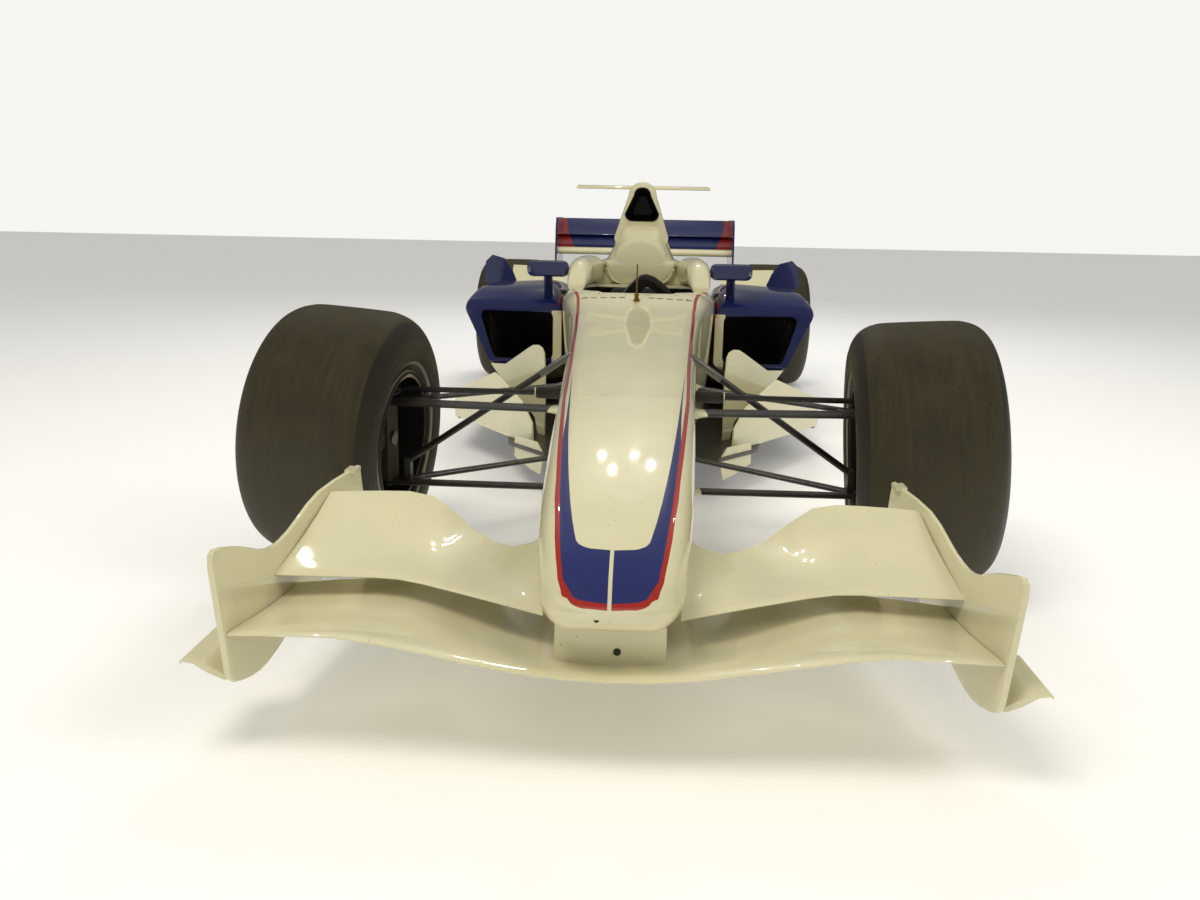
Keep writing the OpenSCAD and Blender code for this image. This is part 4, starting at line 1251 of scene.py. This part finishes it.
@dataclass
class Wheel:
    """A wheel with its tyre, rim, hub and disc, and at the front the knuckle's drum; sizes in millimetres."""

    corner: Corner
    tyre_r: float = 328.0
    rim_r: float = 182.0
    barrel_r: float = 164.0
    camber: float = 4.0
    turn: float = 6.5
    kingpin: float = 110.0

    @property
    def front(self) -> bool:
        """Whether it is a front wheel."""
        return "front" in self.corner.value

    @property
    def side(self) -> int:
        """1 on the car's left, -1 on its right."""
        return 1 if "left" in self.corner.value else -1

    @property
    def half(self) -> float:
        """Half the tyre's width."""
        return 170.0 if self.front else 190.0

    @property
    def tail(self) -> str:
        """The end of the CAD nodes' names."""
        return self.corner.value.removeprefix("wheel_")

    def place(self) -> Matrix:
        """Gives the matrix from the wheel's own frame, outboard along +X, to the shared frame."""
        s = self.side
        flip = Matrix.Diagonal((s, 1, 1, 1))
        if not self.front:
            return Matrix.Translation(at(0, 3110, 304)) @ flip @ Matrix.Translation((0.705, 0, 0))
        turn = Matrix.Rotation(math.radians(-self.turn * s), 4, "Z")
        lean = Matrix.Rotation(math.radians(-self.camber), 4, "Y")
        rise = self.tyre_r * math.cos(math.radians(self.camber)) + 70 * math.sin(math.radians(self.camber)) - LIFT
        return (Matrix.Translation(at(0, -20, rise)) @ flip @ Matrix.Translation((0.630, 0, 0)) @ turn
                @ Matrix.Translation((self.kingpin / 1000, 0, 0)) @ lean)

    def build(self) -> None:
        """Builds the whole wheel."""
        self.tyre()
        self.rim()
        self.hub()
        if self.front:
            self.knuckle()

    def ring(self, x: float, radius: float, count: int, shift: float, axial: float,
             radial: float) -> list[tuple[Vector, Vector]]:
        """Spaces spots evenly around the wheel.

        Args:
            x: their place along the axle, outboard positive.
            radius: their distance from the axle.
            count: how many there are.
            shift: the angle of the first, in radians.
            axial: how far their direction points outboard.
            radial: how far their direction points away from the axle.

        Returns:
            Pairs of point and outward direction in the shared frame.
        """
        place, turn, spots = self.place(), self.place().to_3x3(), []
        for i in range(count):
            a = 2 * math.pi * i / count + shift
            way = Vector((axial, radial * math.cos(a), radial * math.sin(a))).normalized()
            spots.append((place @ polar(x, radius, a), turn @ way))
        return spots

    def tyre(self) -> None:
        """Turns the slick tyre with its rounded shoulders and moulded ribs, and puts black discs for its gauge holes,
        painted shade.
        """
        h, r = self.half, self.tyre_r
        wall = [(h - 30, 170), (h - 22, 186), (h - 6, 206), (h, r - 94), (h - 3, r - 62), (h - 14, r - 36),
                (h - 33, r - 16),
                (h - 62, r - 4), (h - 100, r - 0.4)]
        outline = rounded([(-x, y) for x, y in wall] + wall[::-1], 6)
        ribbed = []
        for x, y in outline:
            push = 0.0
            if abs(x) > h - 40:
                push = 1.6 * math.exp(-(((y - 214) / 2.6) ** 2)) + 0.9 * math.exp(-(((y - 262) / 2.2) ** 2))
            ribbed.append((x + math.copysign(push, x), y))
        marks = [0 if y > r - 22 else 2 if 197 < y < 202.5 else 1 for _, y in ribbed]
        piece("slick_" + self.tail, lathe(ribbed, 224, marks).moved(self.place()), self.corner.value, Finishes.tread,
              Finishes.wall, Finishes.ring,
              replaces=["tyre_" + self.tail], angle=60)
        spots = []
        for x, shift in ((-h + 52, 0.0), (-h + 118, 0.12), (h - 118, 0.05), (h - 52, 0.17)):
            # the outer rows lie on the shoulders, which lean outwards
            sink, lean = (6.2, math.copysign(0.25, x)) if abs(x) > h - 60 else (0.1, 0)
            spots += self.ring(x, r - sink, 26, shift, lean, 1)
        # each gauge hole is a black disc on the tread: its darkness is painted shade
        Studs("gauge_holes_" + self.tail, self.corner.value, Finishes.black, 1.5, 0.8, 8).place(spots)

    def rim(self) -> None:
        """Turns the barrel and skins its ten spokes."""
        h, a, b = self.half, self.rim_r, self.barrel_r
        half = [(-h + 14, b), (-h + 14, a - 4), (-h + 15.2, a - 1), (-h + 17.5, a), (-h + 20, a - 0.6),
                (-h + 21.5, a - 3),
                (-h + 28, a - 11.4), (-h + 34, a - 12.4)]
        outline = half + [(-x, y) for x, y in half[::-1]]
        marks = [1, 1, 1, 1, 1, 0, 0, 0, 0, 0, 1, 1, 1, 1, 1, 0]
        place = self.place()
        piece("rim_barrel_" + self.tail, lathe(outline, 160, marks).moved(place), self.corner.value, Finishes.rim,
              Finishes.lip,
              replaces=["rim_" + self.tail], angle=35)
        spokes = []
        for i in range(10):
            turn = Matrix.Rotation(math.radians(36 * i + 18), 4, "X")
            rings = []
            for radius, wide, back, front in ((44, 11, 1, 19), (58, 8.6, 1.5, 19.5), (90, 8.2, 2, 20), (125, 10, 2, 20),
                                              (150, 14.5, 1, 20),
                                              (160, 22, 0, 20), (165, 26, 0, 20)):
                outline = ((-1, back), (-0.55, back - 0.5), (0.55, back - 0.5), (1, back), (1, front - 5),
                           (0.55, front), (-0.55, front), (-1, front - 5))
                rings.append([turn @ (Vector((x, radius, wide * w)) / 1000) for w, x in outline])
            spokes.append(loft(rings).moved(place))
        piece("spokes_" + self.tail, Shape.joined(spokes), self.corner.value, Finishes.rim, angle=30)
        well = [(0, 33), (0, 56), (3, 58), (16, 58), (20, 54), (21, 33)]
        piece("wheel_centre_" + self.tail, lathe(well, 96).moved(place), self.corner.value, Finishes.alloy)

    def hub(self) -> None:
        """Turns the axle, nut, bell and disc, and puts black discs on the disc for its drilled holes, painted shade."""
        place = self.place()
        inner = -134.0 if self.front else -614.0
        axle = [(inner, 0), (inner, 18), (inner + 2, 20), (-52, 20), (-52, 58), (-50, 60), (-6, 60), (-0.3, 54),
                (-0.3, 32), (20, 32),
                (21, 44), (25, 46), (29, 44), (30, 31), (50, 30), (55, 25), (55, 14), (46, 12), (46, 0)]
        piece("hub_axle_" + self.tail, lathe(axle, 96).moved(place), self.corner.value, Finishes.steel,
              replaces=["hub_" + self.tail], angle=30)
        disc = [(-52, 92.5), (-52, 138), (-51, 139), (-42, 139), (-41, 132), (-35, 132), (-34, 139), (-25, 139),
                (-24, 138), (-24, 92.5), (-25, 92),
                (-51, 92)]
        lugs = []
        for i in range(8):
            turn = Matrix.Rotation(math.radians(45 * i), 4, "X")
            ring = [turn @ (Vector((-45, y, z)) / 1000) for y, z in ((-7, 56), (7, 56), (6, 98), (-6, 98))]
            lugs.append(slab(ring, Vector((0.014, 0, 0))).moved(place))
        piece("disc_" + self.tail, lathe(disc, 128).moved(place), self.corner.value, Finishes.disc, angle=30)
        piece("disc_lugs_" + self.tail, Shape.joined(lugs), self.corner.value, Finishes.alloy)
        spots = []
        for x, way in ((-52, -1), (-24, 1)):
            for radius, shift in ((100, 0.0), (115, 0.09), (130, 0.18)):
                spots += self.ring(x, radius, 36, shift, way, 0)
        # each drilled hole is a black disc on the disc's face: its darkness is painted shade
        Studs("disc_holes_" + self.tail, self.corner.value, Finishes.black, 2.6, 0.5, 8).place(spots)

    def knuckle(self) -> None:
        """Builds the brake drum around the disc, dresses the upright and adds its bolts."""
        body = "knuckle_left" if self.side > 0 else "knuckle_right"
        word = body.removeprefix("knuckle_")
        place = self.place()
        skin("upright_front_" + word, Finishes.cast, 30)
        drum = [(-80, 26), (-80, 60), (-82, 64), (-82, 96), (-80, 100), (-80, 144), (-78, 150), (-74, 154), (-12, 154),
                (-12, 152),
                (-73, 151), (-76, 147), (-77.5, 142), (-77.5, 26)]
        piece("brake_drum_" + word, lathe(drum, 128).moved(place), body, Finishes.cast, angle=30)
        seam = [Vector((-80.2, y, z)) / 1000 for y, z in ((30, -140), (38, -140), (38, 140), (30, 140))]
        piece("drum_seam_" + word, slab(seam, Vector((-0.003, 0, 0))).moved(place), body, Finishes.black)
        Studs("drum_bolts_" + word, body, Finishes.steel, 3.2, 2.0,
              6).place(self.ring(-80.4, 136, 16, math.pi / 16, -1, 0))


@dataclass
class Cockpit:
    """The driver's place: seat, pads, harness and steering wheel; sizes in station millimetres."""

    wheel: tuple = (0, 1075, 545)
    tilt: float = 14.0
    rest_turn: float = -52.0

    def build(self) -> None:
        """Builds the cockpit's fittings."""
        skin("seat", Finishes.black, 40)
        self.pads()
        self.harness()
        self.steering()

    def pads(self) -> None:
        """Builds the seat pad, the back pad and the headrest as crowned cushions."""
        across = Vector((1, 0, 0))
        seat = [(at(0, y, z), 0.150, 0.026) for y, z in ((1175, 172), (1215, 171), (1260, 172), (1305, 174),
                                                         (1350, 178), (1385, 190))]
        back = [(at(0, y, z), 0.155, 0.028) for y, z in ((1432, 250), (1452, 300), (1475, 350), (1497, 400),
                                                         (1519, 450), (1541, 498))]
        head = [(at(0, y, z), 0.120, 0.050) for y, z in ((1590, 520), (1594, 545), (1597, 570), (1600, 592))]
        for name, rows in (("seat_pad", seat), ("back_pad", back), ("headrest_pad", head)):
            item = piece(name, pad_form(rows, across), "chassis", Finishes.pad, angle=80, smooth=1)

    def harness(self) -> None:
        """Builds the six belts and the turn buckle."""
        straps = []
        for s in SIDES:
            over = [(62, 1590, 560), (60, 1560, 540), (56, 1530, 500), (50, 1500, 440), (44, 1470, 376),
                    (36, 1440, 310), (24, 1405, 255),
                    (14, 1370, 222)]
            lap = [(176, 1330, 214), (140, 1335, 206), (100, 1345, 204), (60, 1355, 206), (24, 1362, 210)]
            crotch = [(34, 1220, 190), (28, 1270, 193), (20, 1320, 199), (10, 1350, 208)]
            for path, wide in ((over, 27), (lap, 24), (crotch, 20)):
                straps.append(tube([at(s * x, y, z) for x, y, z in path], [wide] * len(path), [1.5] * len(path), 12))
        piece("harness", Shape.joined(straps), "chassis", Finishes.belt, angle=50)
        buckle = [(-6, 0), (-6, 24), (-3, 27), (3, 27), (6, 24), (7, 12), (10, 10), (10, 0)]
        turn = Matrix.Translation(at(0, 1358, 216)) @ Matrix.Rotation(math.radians(-100), 4, "Y")
        piece("harness_buckle", lathe(buckle, 48).moved(turn), "chassis", Finishes.alloy)

    def steering(self) -> None:
        """Dresses the steering wheel and adds its grips, keys, dials and screen."""
        skin("steering_wheel", Finishes.black, 40)
        frame_of = (Matrix.Translation(at(*self.wheel)) @ Matrix.Rotation(math.radians(-90 + self.tilt), 4, "X")
                    @ Matrix.Rotation(math.radians(self.rest_turn), 4, "Z"))
        grips = []
        for s in SIDES:
            path = [Vector((s * x, y, 13)) / 1000 for x, y in ((96, -66), (112, -52), (119, -30), (121, 0), (119, 30),
                                                               (112, 52), (96, 66))]
            grips.append(tube(path, [12, 14, 15, 15, 15, 14, 12], [14, 16, 17, 17, 17, 16, 14], 18).moved(frame_of))
        piece("wheel_grips", Shape.joined(grips), "steering", Finishes.wall, angle=60)
        screen = [Vector((x, y, 26.2)) / 1000 for x, y in ((-34, 8), (34, 8), (36, 12), (36, 40), (32, 44), (-32, 44),
                                                           (-36, 40), (-36, 12))]
        piece("wheel_screen", slab(screen, Vector((0, 0, 0.002))).moved(frame_of), "steering", Finishes.mirror)
        up = frame_of.to_3x3() @ Vector((0, 0, 1))
        keys = [(frame_of @ (Vector((x, y, 28)) / 1000), up) for x, y in ((-50, 58), (50, 58), (-30, 60), (30, 60),
                                                                          (-44, -58), (44, -58))]
        dials = [(frame_of @ (Vector((x, y, 30)) / 1000), up) for x, y in ((-26, -18), (0, -18), (26, -18), (-14, -44),
                                                                           (14, -44))]
        Studs("wheel_keys", "steering", Finishes.lens, 6.0, 7.0, 20).place(keys)
        Studs("wheel_dials", "steering", Finishes.alloy, 8.0, 9.0, 18).place(dials)


WARM = "fffaf0"


@dataclass
class Studio:
    """Pale floor, soft lights and the camera."""

    eye: tuple = (0.0524, -3.824, 0.9014)
    yaw: float = -2.7635
    pitch: float = -13.07
    roll: float = 1.11
    lens: float = 30.313

    def build(self) -> None:
        """Builds the studio."""
        self.floor()
        self.lights()
        self.camera()

    def floor(self) -> None:
        """Lays a pale floor that runs far behind the car."""
        mesh = bpy.data.meshes.new("studio_floor")
        n, size = 8, 60.0
        points = [(size * (i / n - 0.5), size * (j / n - 0.5), -0.0006) for j in range(n + 1) for i in range(n + 1)]
        faces = [(j * (n + 1) + i, j * (n + 1) + i + 1, (j + 1) * (n + 1) + i + 1,
                  (j + 1) * (n + 1) + i) for j in range(n) for i in range(n)]
        mesh.from_pydata(points, [], faces)
        made = bpy.data.materials.new("painted studio floor")
        made.use_nodes = True
        tree = made.node_tree
        shader = tree.nodes["Principled BSDF"]
        place = add(tree, "ShaderNodeTexCoord")
        noise = add(tree, "ShaderNodeTexNoise", {"Vector": place.outputs["Object"], "Scale": 1.5, "Detail": 4.0})
        tone = add(tree, "ShaderNodeMix", {0: noise, 6: srgb("f4f3ef"), 7: srgb("f8f7f4")}, data_type="RGBA")
        tree.links.new(tone.outputs[2], shader.inputs["Base Color"])
        for name, value in (("Roughness", 0.75), ("Emission Color", srgb("f8f7f4")), ("Emission Strength", 0.16)):
            shader.inputs[name].default_value = value
        mesh.materials.append(made)
        linked("studio_floor", mesh)

    def lights(self) -> None:
        """Hangs one large key light, a fill, a rear light and six small lamps, in a pale room."""
        room = bpy.data.worlds.new("pale room")
        bpy.context.scene.world = room
        room.use_nodes = True
        # the backdrop is pale, and the room that lights the car is dimmer, so that the paint keeps its depth
        tree = room.node_tree
        seen = add(tree, "ShaderNodeLightPath")
        glow = tree.nodes["Background"]
        glow.inputs["Color"].default_value = srgb("fbfaf7")
        gloss = add(tree, "ShaderNodeMapRange", {"Value": seen.outputs["Is Glossy Ray"], "To Min": 0.50, "To Max": 0.2})
        level = add(tree, "ShaderNodeMix", {0: seen.outputs["Is Camera Ray"], 2: gloss, 3: 0.96}, data_type="FLOAT")
        tree.links.new(level.outputs[0], glow.inputs["Strength"])
        aim = Vector((0, -0.6, 0.3))
        for name, spot, size, power, tint in (("key", (-1.4, -3.6, 4.8), 2.2, 110, WARM),
                                              ("fill", (3.4, -2.6, 3.6), 2.4, 45, WARM),
                                              ("rear", (0.5, 4.5, 4.5), 3.0, 90, "ffffff"),
                                              ("lamp_a", (-0.36, 2.55, 3.6), 0.06, 3.2, WARM),
                                              ("lamp_b", (0.02, 2.60, 3.6), 0.06, 3.2, WARM),
                                              ("lamp_c", (-0.22, 2.15, 3.6), 0.06, 3.2, WARM),
                                              ("lamp_d", (0.22, 2.3, 3.6), 0.07, 3.6, WARM),
                                              ("lamp_e", (-1.9, 1.2, 3.4), 0.08, 4, WARM),
                                              ("lamp_f", (2.1, 1.0, 3.4), 0.08, 4, WARM)):
            lamp = bpy.data.lights.new(name, "AREA")
            lamp.shape, lamp.size, lamp.energy, lamp.color = "DISK", size, power, srgb(tint)[:3]
            item = linked(name, lamp)
            item.location = spot
            item.rotation_euler = (aim - Vector(spot)).to_track_quat("-Z", "Y").to_euler()
            # the large lights model the forms; only the small lamps show as points in the gloss
            item.visible_glossy = size < 1

    def camera(self) -> None:
        """Sets the camera low in front of the nose."""
        yaw, pitch, roll = (math.radians(a) for a in (self.yaw, self.pitch, self.roll))
        ahead = Vector((math.sin(yaw) * math.cos(pitch), math.cos(yaw) * math.cos(pitch), math.sin(pitch)))
        right = Vector((math.cos(yaw), -math.sin(yaw), 0))
        up = right.cross(ahead)
        side = right * math.cos(roll) + up * math.sin(roll)
        rise = up * math.cos(roll) - right * math.sin(roll)
        turn = Matrix((side, rise, -ahead)).transposed().to_4x4()
        data = bpy.data.cameras.new("camera")
        data.lens, data.sensor_width = self.lens, 36.0
        data.clip_start, data.clip_end = 0.05, 200
        item = linked("camera", data)
        item.matrix_world = Matrix.Translation(self.eye) @ turn
        bpy.context.scene.camera = item
        bpy.context.scene.view_settings.view_transform = "Standard"


def main() -> None:
    """Builds the car piece by piece, then the studio."""
    logging.basicConfig(level=logging.INFO, format="%(name)s: %(message)s")
    parts = [Nose(), Cell(), FrontWing(), Sidepod(1), Sidepod(-1), EngineCover(), Mirrors(), Underbody(), RearEnd(),
             FrontSuspension(),
             Cockpit(), *(Wheel(c) for c in Corner), Studio()]
    for part in parts:
        part.build()
        log.info("%s done", type(part).__name__)


if __name__ == "__main__":
    main()
